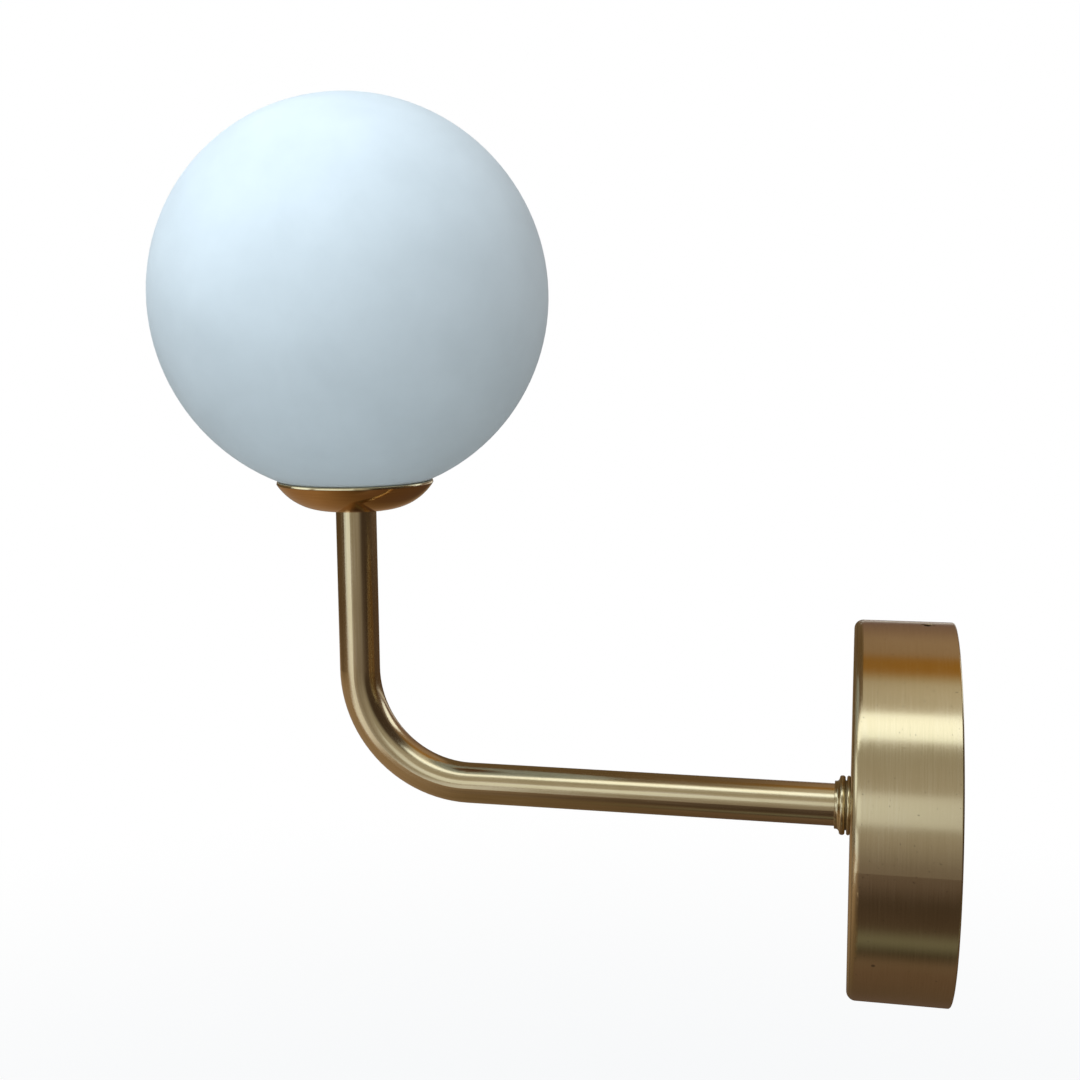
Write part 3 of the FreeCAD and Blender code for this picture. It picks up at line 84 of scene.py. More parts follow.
# %% Helpers for colours and nodes


def linear(hex_code):
    """An sRGB hex colour as linear red, green, blue and an alpha of 1."""
    shares = [int(hex_code[i:i + 2], 16) / 255 for i in (1, 3, 5)]
    light = [s / 12.92 if s <= 0.04045 else ((s + 0.055) / 1.055) ** 2.4 for s in shares]
    return (*light, 1.0)


def add_node(tree, kind, inputs=None, stops=None, **settings):
    """Add a node. inputs maps a socket's name or number to a value or a socket."""
    made = tree.nodes.new(kind)
    for name, value in settings.items():
        setattr(made, name, value)
    for socket, value in (inputs or {}).items():
        if isinstance(value, bpy.types.NodeSocket):
            tree.links.new(value, made.inputs[socket])
        else:
            made.inputs[socket].default_value = value
    for place, colour in stops or []:
        stop = made.color_ramp.elements.new(place)
        stop.color = linear(colour)
    if stops:
        made.color_ramp.elements.remove(made.color_ramp.elements[0])
        made.color_ramp.elements.remove(made.color_ramp.elements[-1])
    return made


def new_finish(name):
    """An empty material with its output, ready for its nodes."""
    finish = bpy.data.materials.new(name)
    finish.use_nodes = True
    finish.node_tree.nodes.clear()
    add_node(finish.node_tree, "ShaderNodeOutputMaterial")
    return finish


def close(finish, surface):
    """Join the last shader to the material's output."""
    output = finish.node_tree.nodes["Material Output"]
    finish.node_tree.links.new(surface, output.inputs["Surface"])
    return finish


print("sRGB #808080 in linear light:", round(linear("#808080")[0], 3))

# %% [markdown]
# ## Camera
# The picture was taken from the lamp's right side, a little above the arm. The
# place and the turn come from fitting the camera to the outlines of the canopy,
# the tube and the globe, and the focal length is that of a 36 mm wide sensor.

# %% Camera
CAMERA_PLACE = Vector((422.57, -29.13, 138.39)) * MM
CAMERA_AIM = Vector((-0.967136, -0.212108, -0.140210))
CAMERA_ROLL = math.radians(-0.43)
SENSOR = 36.0
FOCAL_LENGTH = 48.26

camera = bpy.data.objects.new("camera", bpy.data.cameras.new("camera"))
bpy.context.scene.collection.objects.link(camera)
camera.data.sensor_width = SENSOR
camera.data.lens = FOCAL_LENGTH
camera.data.clip_start = 0.01
camera.location = CAMERA_PLACE
aim = CAMERA_AIM.to_track_quat("-Z", "Y").to_matrix()
camera.rotation_euler = (aim @ Matrix.Rotation(CAMERA_ROLL, 3, "Z")).to_euler()
bpy.context.scene.camera = camera
bpy.context.scene.view_settings.view_transform = "Standard"
print("camera", round(CAMERA_PLACE.length, 3), "m from the middle of the canopy")

# %% [markdown]
# ## World
# The background is plain white. The world is white for the rays of the camera,
# and for those that metal and glass send out, and a soft grey fill for the rest,
# so that the object is not washed out. The floor uses the same split: it throws
# back less light than it shows, so that the globe stays darker below.

# %% World
FILL_LEVEL = 0.36


def seen_rays(tree):
    """1 for the rays of the camera and those that metal and glass send out, else 0."""
    rays = add_node(tree, "ShaderNodeLightPath")
    share = rays.outputs["Is Camera Ray"]
    for kind in ("Is Glossy Ray", "Is Transmission Ray"):
        share = add_node(tree, "ShaderNodeMath", {0: share, 1: rays.outputs[kind]},
                         operation="MAXIMUM").outputs[0]
    return share


world = bpy.data.worlds.new("white_studio")
bpy.context.scene.world = world
world.use_nodes = True
tree = world.node_tree
tree.nodes.clear()
seen = seen_rays(tree)
fill = add_node(tree, "ShaderNodeBackground", {"Color": linear("#F2F7FA"), "Strength": FILL_LEVEL})
white = add_node(tree, "ShaderNodeBackground", {"Color": linear("#FFFFFF"), "Strength": 1.0})
mixed = add_node(tree, "ShaderNodeMixShader", {0: seen, 1: fill.outputs[0], 2: white.outputs[0]})
add_node(tree, "ShaderNodeOutputWorld", {"Surface": mixed.outputs[0]})
print("fill level", FILL_LEVEL)

# %% [markdown]
# ## Floor
# Near the lamp the floor is part paint, which keeps the shadow, and part plain
# white glow. Further out the glow takes over, so that no edge of the floor shows.

# %% Floor
FLOOR_DROP = 0.30
FLOOR_HALF = 6.0
FADE_MIDDLE_Y = -0.1
FADE_START, FADE_END = 0.2, 1.1
LEAST_GLOW = 0.8
floor_mesh = bpy.data.meshes.new("floor")
floor_z = cad_box[0].z - FLOOR_DROP
floor_mesh.from_pydata([(x * FLOOR_HALF, y * FLOOR_HALF, floor_z)
                        for x, y in ((-1, -1), (1, -1), (1, 1), (-1, 1))], [], [(0, 1, 2, 3)])
floor = bpy.data.objects.new("floor", floor_mesh)
bpy.context.scene.collection.objects.link(floor)
floor_paint = new_finish("pale_floor")
tree = floor_paint.node_tree
seen = seen_rays(tree)
place = add_node(tree, "ShaderNodeTexCoord")
far = add_node(tree, "ShaderNodeVectorMath", {0: place.outputs["Object"], 1: (0, FADE_MIDDLE_Y, floor_z)},
               operation="DISTANCE")
fade = add_node(tree, "ShaderNodeMapRange",
                {"Value": far.outputs["Value"], "From Min": FADE_START, "From Max": FADE_END,
                 "To Min": LEAST_GLOW, "To Max": 1.0}, interpolation_type="SMOOTHSTEP")
share = add_node(tree, "ShaderNodeMath", {0: seen, 1: fade.outputs[0]}, operation="MULTIPLY")
paint = add_node(tree, "ShaderNodeBsdfDiffuse", {"Color": linear("#F4F4F2")})
glow = add_node(tree, "ShaderNodeEmission", {"Color": linear("#FFFFFF"), "Strength": 1.0})
shown = add_node(tree, "ShaderNodeMixShader", {0: share.outputs[0], 1: paint.outputs[0], 2: glow.outputs[0]})
bounce = add_node(tree, "ShaderNodeBsdfDiffuse", {"Color": linear("#C6CACA")})
both = add_node(tree, "ShaderNodeMixShader", {0: seen, 1: bounce.outputs[0], 2: shown.outputs[0]})
close(floor_paint, both.outputs[0])
floor_mesh.materials.append(floor_paint)
print("floor at", round(floor_z, 3), "m")

# %% [markdown]
# ## Lamps
# Brass shows what stands round it, so the lamps are placed by their reflections:
# one long soft box overhead draws the bright line along the arm and across the
# canopy, and a window beside the camera draws the broad bands below it. It has
# four panes, each as bright as its band. The two lamps after it show only in
# metal, three more only shade the globe, and the last lights the back.

# %% Lamps
DAYLIGHT = "#DCEEFF"


def soft_box(name, place, look_at, width, height, brightness, in_reflections=True, lights_matt=True):
    """A rectangular lamp; brightness is what its face shows, where 1 is white."""
    light = bpy.data.lights.new(name, "AREA")
    light.shape = "RECTANGLE"
    light.size = width
    light.size_y = height
    light.color = linear(DAYLIGHT)[:3]
    light.energy = brightness * math.pi * width * height
    lamp = bpy.data.objects.new(name, light)
    bpy.context.scene.collection.objects.link(lamp)
    lamp.location = place
    lamp.rotation_euler = (Vector(look_at) - Vector(place)).to_track_quat("-Z", "Y").to_euler()
    lamp.visible_camera = False
    lamp.visible_glossy = in_reflections
    lamp.visible_diffuse = lights_matt
    print(name, round(light.energy, 2), "W")


soft_box("overhead", (0.41, -0.30, 0.87), (0, -0.30, 0), 1.5, 0.29, 1.5)

# The window's panes: name, middle along Y and Z, width, height, brightness, lights_matt.
WINDOW_X = 1.10
for name, y, z, width, height, brightness, lights_matt in (
        ("window", -0.675, 0.335, 0.95, 0.40, 0.82, True),
        ("window_near_wall", -0.025, 0.34, 0.35, 0.38, 0.63, True),
        ("window_foot", -1.235, -0.14, 1.03, 0.36, 1.05, False),
        ("window_foot_dim", -0.54, -0.14, 0.32, 0.34, 0.75, False)):
    soft_box(name, (WINDOW_X, y, z), (0, y, z), width, height, brightness, lights_matt=lights_matt)

soft_box("floor_glow", (0.75, -0.74, floor_z + 0.03), (0.75, -0.74, 1.0), 0.60, 0.36, 0.9, lights_matt=False)
soft_box("side_window", (0.60, -1.75, 0.58), (0, -0.10, 0.30), 1.1, 0.6, 1.1, lights_matt=False)

GLOBE_MIDDLE = (0, -0.18, 0.15)
soft_box("upper_left", (0.42, -0.60, 1.45), GLOBE_MIDDLE, 1.0, 1.0, 4.5, in_reflections=False)
soft_box("camera_side", (1.20, -0.38, 0.36), GLOBE_MIDDLE, 0.6, 0.6, 2.9, in_reflections=False)
soft_box("wall_side", (0.90, 0.75, 0.35), GLOBE_MIDDLE, 0.5, 0.5, 1.3, in_reflections=False)
soft_box("behind", (-0.90, 1.30, 0.70), (0, 0, 0), 0.8, 0.8, 1.6)

# %% [markdown]
# ## Dark surround
# Metal in an all-white room loses its edges. Photographers hang dark cards round
# it, and a box of warm brown card does that here, with its tones laid round the
# lamp by angle. It is seen only in reflections, so it darkens neither the floor
# nor the globe.

# %% Dark surround
CARD_GAP = 0.02
card_low = Vector((-1.6, -2.1, floor_z + CARD_GAP))
card_high = Vector((1.6, 1.5, 1.8))
CARD_MIDDLE_Z = 0.02
surround_mesh = bpy.data.meshes.new("dark_surround")
shape = bmesh.new()
bmesh.ops.create_cube(shape, size=1)
bmesh.ops.scale(shape, vec=card_high - card_low, verts=shape.verts)
bmesh.ops.translate(shape, vec=(card_high + card_low) / 2, verts=shape.verts)
shape.to_mesh(surround_mesh)
shape.free()
surround = bpy.data.objects.new("dark_surround", surround_mesh)
bpy.context.scene.collection.objects.link(surround)
surround.visible_camera = False
surround.visible_diffuse = False
surround.visible_transmission = False
surround.visible_shadow = False

# Degrees up from the camera's side, over the top, and the card's colour there.
CARD_TONES = [(-180, "#6E5C50"), (-172, "#584636"), (-134, "#604E40"), (-110, "#62503F"), (-84, "#6C5848"),
              (-76, "#746252"), (-68, "#40382C"), (-60, "#80806F"), (-52, "#524439"), (-36, "#483C32"),
              (-24, "#6A5C54"), (-14, "#867E76"), (0, "#A7A198"), (12, "#A8A59C"), (30, "#B4B0A6"),
              (48, "#A8A498"), (60, "#B6B4AA"), (86, "#D6D2C6"), (96, "#CEC8B8"), (100, "#B8A480"),
              (105, "#A4762E"), (116, "#A0742E"), (122, "#A38C76"), (137, "#A38C76"), (152, "#8C7462"),
              (172, "#705A50"), (180, "#6E5C50")]
surround_card = new_finish("brown_card")
tree = surround_card.node_tree
place = add_node(tree, "ShaderNodeTexCoord")
parts = add_node(tree, "ShaderNodeSeparateXYZ", {0: place.outputs["Object"]})
rise = add_node(tree, "ShaderNodeMath", {0: parts.outputs["Z"], 1: CARD_MIDDLE_Z}, operation="SUBTRACT")
turn = add_node(tree, "ShaderNodeMath", {0: rise.outputs[0], 1: parts.outputs["X"]}, operation="ARCTAN2")
share = add_node(tree, "ShaderNodeMapRange",
                 {"Value": turn.outputs[0], "From Min": -math.pi, "From Max": math.pi})
shade = add_node(tree, "ShaderNodeValToRGB", {"Fac": share.outputs[0]},
                 stops=[((angle + 180) / 360, tone) for angle, tone in CARD_TONES])


def shift_tone(colour, axis, span, other_axis, other_span, tone):
    """Mix in another tone where the place lies between both pairs of limits."""
    masks = [add_node(tree, "ShaderNodeMapRange",
                      {"Value": parts.outputs[name], "From Min": low, "From Max": high},
                      interpolation_type="SMOOTHSTEP").outputs[0]
             for name, (low, high) in ((axis, span), (other_axis, other_span))]
    mask = add_node(tree, "ShaderNodeMath", {0: masks[0], 1: masks[1]}, operation="MULTIPLY")
    mixed = add_node(tree, "ShaderNodeMix", data_type="RGBA")
    tree.links.new(mask.outputs[0], mixed.inputs[0])
    tree.links.new(colour, mixed.inputs[6])
    mixed.inputs[7].default_value = linear(tone)
    return mixed.outputs[2]


# Darker towards the wall and behind the arm; lighter low down at the lamp's end,
# where the dish looks; and dark again at the far end, where the upright looks.
tone = shift_tone(shade.outputs["Color"], "Y", (0.60, 1.50), "X", (-1.5, 0.2), "#463A30")
tone = shift_tone(tone, "Y", (-0.05, -0.22), "X", (0.45, 0.20), "#6A5840")
tone = shift_tone(tone, "Z", (floor_z + 0.06, floor_z + 0.03), "Y", (-0.10, -0.50), "#9E8870")
tone = shift_tone(tone, "Y", (-1.45, -1.75), "Z", (floor_z + 0.40, floor_z + 0.20), "#5A4832")
glow = add_node(tree, "ShaderNodeEmission", {"Color": tone, "Strength": 1.0})
close(surround_card, glow.outputs[0])
surround_mesh.materials.append(surround_card)
print("surround with", len(CARD_TONES), "tones")

# %% [markdown]
# ## Lines left by a lathe
# A piece that is turned, spun or brushed while it spins carries fine rings round
# its own axis. The rings are noise that changes fast along the radius and the
# axis, and slowly round it. Distances are real, so the line width is given in
# millimetres. Real brush lines are about 0.1 mm; here they are as coarse as the
# render can still show.

# %% Turned lines


def turned_lines(tree, centre, axis, line_mm, streaks):
    """Noise in rings round an axis through a centre, given in metres."""
    axis = Vector(axis)
    place = add_node(tree, "ShaderNodeTexCoord").outputs["Object"]
    here = add_node(tree, "ShaderNodeVectorMath", {0: place, 1: centre}, operation="SUBTRACT").outputs[0]
    across = add_node(tree, "ShaderNodeVectorMath", {0: here, 1: Vector((1, 1, 1)) - axis},
                      operation="MULTIPLY").outputs[0]
    radius = add_node(tree, "ShaderNodeVectorMath", {0: across}, operation="LENGTH").outputs["Value"]
    along = add_node(tree, "ShaderNodeVectorMath", {0: here, 1: axis},
                     operation="DOT_PRODUCT").outputs["Value"]
    reach = add_node(tree, "ShaderNodeMath", {0: radius, 1: along}, operation="ADD").outputs[0]
    count = add_node(tree, "ShaderNodeMath", {0: reach, 1: 1 / (line_mm * MM)},
                     operation="MULTIPLY").outputs[0]
    rings = add_node(tree, "ShaderNodeVectorMath", {0: tuple(axis), "Scale": count},
                     operation="SCALE").outputs[0]
    way = add_node(tree, "ShaderNodeVectorMath", {0: across}, operation="NORMALIZE").outputs[0]
    round_it = add_node(tree, "ShaderNodeVectorMath", {0: way, "Scale": streaks},
                        operation="SCALE").outputs[0]
    grain = add_node(tree, "ShaderNodeVectorMath", {0: rings, 1: round_it}, operation="ADD").outputs[0]
    return add_node(tree, "ShaderNodeTexNoise", {"Vector": grain, "Scale": 1.0, "Detail": 3.0,
                                                 "Roughness": 0.6}).outputs["Fac"]


# %% [markdown]
# ## Clouds and pits
# Handling leaves soft patches, and a brushed finish keeps a few pits. Both are the
# same plain noise at a size in millimetres: the patches use all of it, the pits
# only its highest peaks. One larger flaw can be put at a place of its own.

# %% Clouds and pits


def clouds(tree, size_mm, detail=2.0):
    """Soft patches of about the given size."""
    place = add_node(tree, "ShaderNodeTexCoord").outputs["Object"]
    return add_node(tree, "ShaderNodeTexNoise", {"Vector": place, "Scale": 1 / (size_mm * MM),
                                                 "Detail": detail, "Roughness": 0.5}).outputs["Fac"]


PIT_FROM, PIT_TO = 0.80, 0.84
FLAW_RADIUS = 0.7


def pits(tree, size_mm, flaw=None):
    """1 in a few small spots, 0 elsewhere, and 2 in one flaw at a place in millimetres."""
    spots = clouds(tree, size_mm, 0.0)
    small = add_node(tree, "ShaderNodeMapRange",
                     {"Value": spots, "From Min": PIT_FROM, "From Max": PIT_TO}).outputs[0]
    if flaw is None:
        return small
    place = add_node(tree, "ShaderNodeTexCoord").outputs["Object"]
    off = add_node(tree, "ShaderNodeVectorMath", {0: place, 1: Vector(flaw) * MM}, operation="DISTANCE")
    big = add_node(tree, "ShaderNodeMapRange", {"Value": off.outputs["Value"], "From Min": FLAW_RADIUS * MM,
                                                "From Max": FLAW_RADIUS * MM / 2, "To Max": 2.0})
    return add_node(tree, "ShaderNodeMath", {0: small, 1: big.outputs[0]}, operation="MAXIMUM").outputs[0]


# %% [markdown]
# ## One recipe for metal
# Each metal is told apart by its lines, its three shades, its gloss and the depth
# of its marks, so one function builds them all. Lines and patches drift together
# through the shades, and dark pits and masked darker faces come on top of those:
# unpolished faces, and painted shade in the collar's groove.

# %% One recipe for metal
PATCH_SHARE = 0.35
DRIFT_LOW, DRIFT_HIGH = 0.3, 0.7
BUMP_STRENGTH = 0.3
PIT_VALUE = 0.72
# The first two darken masked faces; in the collar's groove that darkening is painted shade.
DULL_AND_SHADE_SATURATION, DULL_AND_SHADE_VALUE, DULL_ROUGHNESS = 1.1, 0.78, 0.28


def metal(name, lines, shades, roughness, patches, depth_mm, stretch=0.0, tangent=None, pit_mm=None,
          flaw=None, dull_and_shade=None):
    """A metal whose lines, patches and pits shift its colour, roughness and height.

    The last argument builds a mask for faces made darker and rougher: the
    canopy's unbrushed inside, and the collar's groove, where the darkening is
    painted shade.
    """
    finish = new_finish(name)
    tree = finish.node_tree
    line = lines(tree)
    patch = clouds(tree, patches)
    blend = add_node(tree, "ShaderNodeMix", {"Factor": PATCH_SHARE, "A": line, "B": patch}).outputs["Result"]
    colour = add_node(tree, "ShaderNodeValToRGB", {"Fac": blend},
                      stops=[(0.25, shades[0]), (0.5, shades[1]), (0.75, shades[2])]).outputs["Color"]
    rough = add_node(tree, "ShaderNodeMapRange",
                     {"Value": blend, "From Min": DRIFT_LOW, "From Max": DRIFT_HIGH,
                      "To Min": roughness[0], "To Max": roughness[1]}).outputs["Result"]
    height = line
    if pit_mm:
        pit = pits(tree, pit_mm, flaw)
        height = add_node(tree, "ShaderNodeMath", {0: line, 1: pit}, operation="SUBTRACT").outputs[0]
        darker = add_node(tree, "ShaderNodeMapRange", {"Value": pit, "To Min": 1.0, "To Max": PIT_VALUE},
                          clamp=False).outputs[0]
        colour = add_node(tree, "ShaderNodeHueSaturation",
                          {"Color": colour, "Value": darker}).outputs["Color"]
    if dull_and_shade:
        mask = dull_and_shade(tree)
        darker_masked = add_node(tree, "ShaderNodeHueSaturation",
                        {"Color": colour, "Saturation": DULL_AND_SHADE_SATURATION, "Value": DULL_AND_SHADE_VALUE})
        faces = add_node(tree, "ShaderNodeMix", data_type="RGBA")
        for socket, value in ((0, mask), (6, colour), (7, darker_masked.outputs["Color"])):
            tree.links.new(value, faces.inputs[socket])
        colour = faces.outputs[2]
        rough = add_node(tree, "ShaderNodeMath", {0: mask, 1: DULL_ROUGHNESS, 2: rough},
                         operation="MULTIPLY_ADD").outputs[0]
    bump = add_node(tree, "ShaderNodeBump",
                    {"Height": height, "Strength": BUMP_STRENGTH, "Distance": depth_mm * MM})
    inputs = {"Base Color": colour, "Metallic": 1.0, "Roughness": rough,
              "Normal": bump.outputs["Normal"], "Anisotropic": stretch, "Anisotropic Rotation": 0.25}
    surface = add_node(tree, "ShaderNodeBsdfPrincipled", inputs)
    if tangent:
        way = add_node(tree, "ShaderNodeTangent", direction_type="RADIAL", axis=tangent)
        tree.links.new(way.outputs[0], surface.inputs["Tangent"])
    return close(finish, surface.outputs[0])


CANOPY_AXIS = Vector((0, 0, 0))
GLOBE_AXIS = Vector((0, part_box("globe")[0].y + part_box("globe")[1].y, 0)) / 2
print("upright axis at y =", round(GLOBE_AXIS.y, 4))

# %% [markdown]
# ## Brushed brass
# The canopy is a brass cup, brushed with a fine wheel while it spins and then
# lacquered: satin lines run round it and pull each highlight out sideways. Its
# inside was never brushed, so a mask makes those faces darker and rougher. Small
# pits and one larger flaw, low on its side, mark the finish as they do on metal
# that has been handled. The collar is turned, and a mask makes the groove between
# its beads darker and rougher: the darkening is painted shade.

# %% Brushed brass, round
CUP_INSIDE_RADIUS = 54.4
CUP_INSIDE_DEPTH = 27.9
FLAW = (47.14, -21.7, -28.33)


def inside_cup(tree):
    """1 on the faces inside the canopy, 0 outside and on its rim."""
    place = add_node(tree, "ShaderNodeTexCoord").outputs["Object"]
    parts = add_node(tree, "ShaderNodeSeparateXYZ", {0: place})
    flat = add_node(tree, "ShaderNodeVectorMath", {0: place, 1: (1, 0, 1)}, operation="MULTIPLY").outputs[0]
    radius = add_node(tree, "ShaderNodeVectorMath", {0: flat}, operation="LENGTH").outputs["Value"]
    within = add_node(tree, "ShaderNodeMath", {0: radius, 1: CUP_INSIDE_RADIUS * MM},
                      operation="LESS_THAN").outputs[0]
    behind = add_node(tree, "ShaderNodeMath", {0: parts.outputs["Y"], 1: -CUP_INSIDE_DEPTH * MM},
                      operation="GREATER_THAN").outputs[0]
    return add_node(tree, "ShaderNodeMath", {0: within, 1: behind}, operation="MULTIPLY").outputs[0]


brushed_brass = metal("lathe_brushed_brass",
                      lambda tree: turned_lines(tree, CANOPY_AXIS, (0, 1, 0), 0.3, streaks=4.0),
                      ("#CBBA93", "#D3C19B", "#DACAA7"), (0.18, 0.25), 14, 0.009, stretch=0.6, tangent="Y",
                      pit_mm=0.7, flaw=FLAW, dull_and_shade=inside_cup)
COLLAR_FACE = 28.5
GROOVE_LOW, GROOVE_HIGH = COLLAR_FACE + 1.02, COLLAR_FACE + 1.52


def groove_painted_shade(tree):
    """1 in the collar's groove, where the brass is darkened as painted shade."""
    place = add_node(tree, "ShaderNodeTexCoord").outputs["Object"]
    along = add_node(tree, "ShaderNodeVectorMath", {0: place, 1: (0, -1, 0)},
                     operation="DOT_PRODUCT").outputs["Value"]
    past = add_node(tree, "ShaderNodeMath", {0: along, 1: GROOVE_LOW * MM}, operation="GREATER_THAN")
    before = add_node(tree, "ShaderNodeMath", {0: along, 1: GROOVE_HIGH * MM}, operation="LESS_THAN")
    return add_node(tree, "ShaderNodeMath", {0: past.outputs[0], 1: before.outputs[0]},
                    operation="MULTIPLY").outputs[0]


# The groove mask darkens the collar's groove as painted shade.
turned_brass = metal("turned_brass",
                     lambda tree: turned_lines(tree, CANOPY_AXIS, (0, 1, 0), 0.35, streaks=3.0),
                     ("#C0AF86", "#D0C09A", "#DBCDAA"), (0.16, 0.24), 8, 0.006, dull_and_shade=groove_painted_shade)
print(brushed_brass.name, turned_brass.name)

# %% [markdown]
# ## Satin brass tube
# The tube is belted lengthwise before it is bent, so its lines follow it round
# the bend. The distance from the centre line, measured in the plane of the bend,
# is the same all along, which makes it the coordinate for those lines. Belt lines
# are about 0.1 mm wide; they are drawn at 0.6 mm, so that they show.

# %% Satin brass, lengthwise
BEND_RADIUS = 35 * MM
BEND_CENTRE = Vector((0, GLOBE_AXIS.y + BEND_RADIUS, BEND_RADIUS))
TUBE_LINE = 0.6
TUBE_LINE_SLOWNESS = 0.024


def tube_lines(tree):
    """Noise in lines that follow the tube and change slowly along it."""
    place = add_node(tree, "ShaderNodeTexCoord").outputs["Object"]
    here = add_node(tree, "ShaderNodeVectorMath", {0: place, 1: BEND_CENTRE}, operation="SUBTRACT").outputs[0]
    inner = add_node(tree, "ShaderNodeVectorMath", {0: here, 1: (0, 0, 0)}, operation="MINIMUM").outputs[0]
    plane = add_node(tree, "ShaderNodeVectorMath", {0: inner, 1: (0, 1, 1)}, operation="MULTIPLY").outputs[0]
    reach = add_node(tree, "ShaderNodeVectorMath", {0: plane}, operation="LENGTH").outputs["Value"]
    parts = add_node(tree, "ShaderNodeSeparateXYZ", {0: here})
    along = add_node(tree, "ShaderNodeMath", {0: parts.outputs["Y"], 1: parts.outputs["Z"]},
                     operation="SUBTRACT")
    slow = add_node(tree, "ShaderNodeMath", {0: along.outputs[0], 1: TUBE_LINE_SLOWNESS},
                    operation="MULTIPLY")
    grain = add_node(tree, "ShaderNodeCombineXYZ", {0: parts.outputs["X"], 1: reach, 2: slow.outputs[0]})
    return add_node(tree, "ShaderNodeTexNoise", {"Vector": grain.outputs[0], "Scale": 1 / (TUBE_LINE * MM),
                                                 "Detail": 3.0, "Roughness": 0.6}).outputs["Fac"]


tube_brass = metal("satin_tube_brass", tube_lines, ("#C7B58C", "#D4C29C", "#DFCFAE"), (0.15, 0.23), 20, 0.008)
print(tube_brass.name)

# %% [markdown]
# ## Polished brass
# The dish is spun from sheet and polished: almost a mirror, with a trace of the
# spinning rings, and a warmer colour than the brushed pieces. Its rolled edge is
# given paler brass, a painted highlight that makes its bright line read cream,
# and a gloss a little less sharp.

# %% Polished brass
polished_brass = metal("spun_polished_brass",
                       lambda tree: turned_lines(tree, GLOBE_AXIS, (0, 0, 1), 0.8, streaks=2.0),
                       ("#C79A5E", "#D3A86C", "#DCB478"), (0.06, 0.11), 10, 0.004)
# The rolled edge's paler shades are a painted highlight.
rim_painted_highlight_brass = metal("rolled_brass_edge_painted_highlight",
                     lambda tree: turned_lines(tree, GLOBE_AXIS, (0, 0, 1), 0.4, streaks=2.0),
                     ("#D8C69A", "#E0D0A8", "#E8DAB6"), (0.10, 0.16), 6, 0.003)
print(polished_brass.name, rim_painted_highlight_brass.name)

# %% [markdown]
# ## Opal glass
# The globe is blown opal glass, etched in acid so that it is satin to the touch.
# It scatters light just under its surface, has no sharp highlight, and carries
# very faint clouds from the etch. The etch's grain is far finer than a render can
# show, so it is drawn at 0.6 mm.

# %% Opal glass
opal_glass = new_finish("acid_etched_opal_glass")
tree = opal_glass.node_tree
tone = add_node(tree, "ShaderNodeValToRGB", {"Fac": clouds(tree, 22, 4.0)},
                stops=[(0.3, "#E5EAE9"), (0.5, "#E9EEED"), (0.7, "#EDF2F1")])
etch = clouds(tree, 0.6, 3.0)
etch_bump = add_node(tree, "ShaderNodeBump", {"Height": etch, "Strength": 0.12, "Distance": 0.02 * MM})
surface = add_node(tree, "ShaderNodeBsdfPrincipled",
                   {"Base Color": tone.outputs["Color"], "Roughness": 0.62, "IOR": 1.5,
                    "Subsurface Weight": 0.2, "Subsurface Radius": (0.006, 0.006, 0.006),
                    "Subsurface Scale": 1.0,
                    "Normal": etch_bump.outputs["Normal"]})
close(opal_glass, surface.outputs[0])
print(opal_glass.name)

# %% [markdown]
# ## Inner metals
# Behind the canopy and inside the globe are plain working metals: zinc-plated
# steel with its faint cloudy grain, aluminium fresh from the lathe, bare brass and
# nickel-plated spring strip. Their grains are drawn at 0.3 to 0.9 mm, coarser than
# real ones, so that they show.

# %% Inner metals
zinc_steel = metal("zinc_plated_steel", lambda tree: clouds(tree, 0.9, 3.0),
                   ("#AEB4B8", "#BDC2C4", "#CBCFCF"), (0.28, 0.42), 3, 0.01)
turned_aluminium = metal("turned_aluminium",
                         lambda tree: turned_lines(tree, GLOBE_AXIS, (0, 0, 1), 0.3, streaks=2.0),
                         ("#C2C5C8", "#CFD1D3", "#DADCDD"), (0.24, 0.36), 6, 0.02)
raw_brass = metal("machined_raw_brass", lambda tree: clouds(tree, 0.5, 3.0),
                  ("#B89552", "#CBAA66", "#D9BC7C"), (0.22, 0.34), 3, 0.01)
spring_nickel = metal("nickel_plated_strip", lambda tree: clouds(tree, 0.7, 2.0),
                      ("#B3AFA6", "#C2BEB4", "#D0CCC2"), (0.18, 0.28), 4, 0.006)
print("four inner metals")

# %% [markdown]
# ## Ceramics, plastics and silicone
# The lampholder is pressed steatite, slightly grainy; the lamp's foot is glazed
# alumina. Bushes and block are moulded nylon. The soft ring and the leads are
# silicone rubber. The lamp's board has a white solder mask, and its chips are
# capped with yellow phosphor. Each has a patchy tone, at a grain of 0.4 to 2.5 mm:
# coarser than the real one, so that it shows.

# %% Ceramics, plastics and silicone
MOULDED_IOR = 1.5


def moulded(name, shades, grain_mm, roughness, bump_mm, **extra):
    """A matt solid whose tone and height vary at the size of its grain."""
    finish = new_finish(name)
    tree = finish.node_tree
    grain = clouds(tree, grain_mm, 3.0)
    colour = add_node(tree, "ShaderNodeValToRGB", {"Fac": grain},
                      stops=[(0.3, shades[0]), (0.5, shades[1]), (0.7, shades[2])])
    rough = add_node(tree, "ShaderNodeMapRange",
                     {"Value": grain, "From Min": DRIFT_LOW, "From Max": DRIFT_HIGH,
                      "To Min": roughness[0], "To Max": roughness[1]})
    bump = add_node(tree, "ShaderNodeBump",
                    {"Height": grain, "Strength": BUMP_STRENGTH, "Distance": bump_mm * MM})
    inputs = {"Base Color": colour.outputs["Color"], "Roughness": rough.outputs["Result"],
              "IOR": MOULDED_IOR, "Normal": bump.outputs["Normal"], **extra}
    surface = add_node(tree, "ShaderNodeBsdfPrincipled", inputs)
    return close(finish, surface.outputs[0])


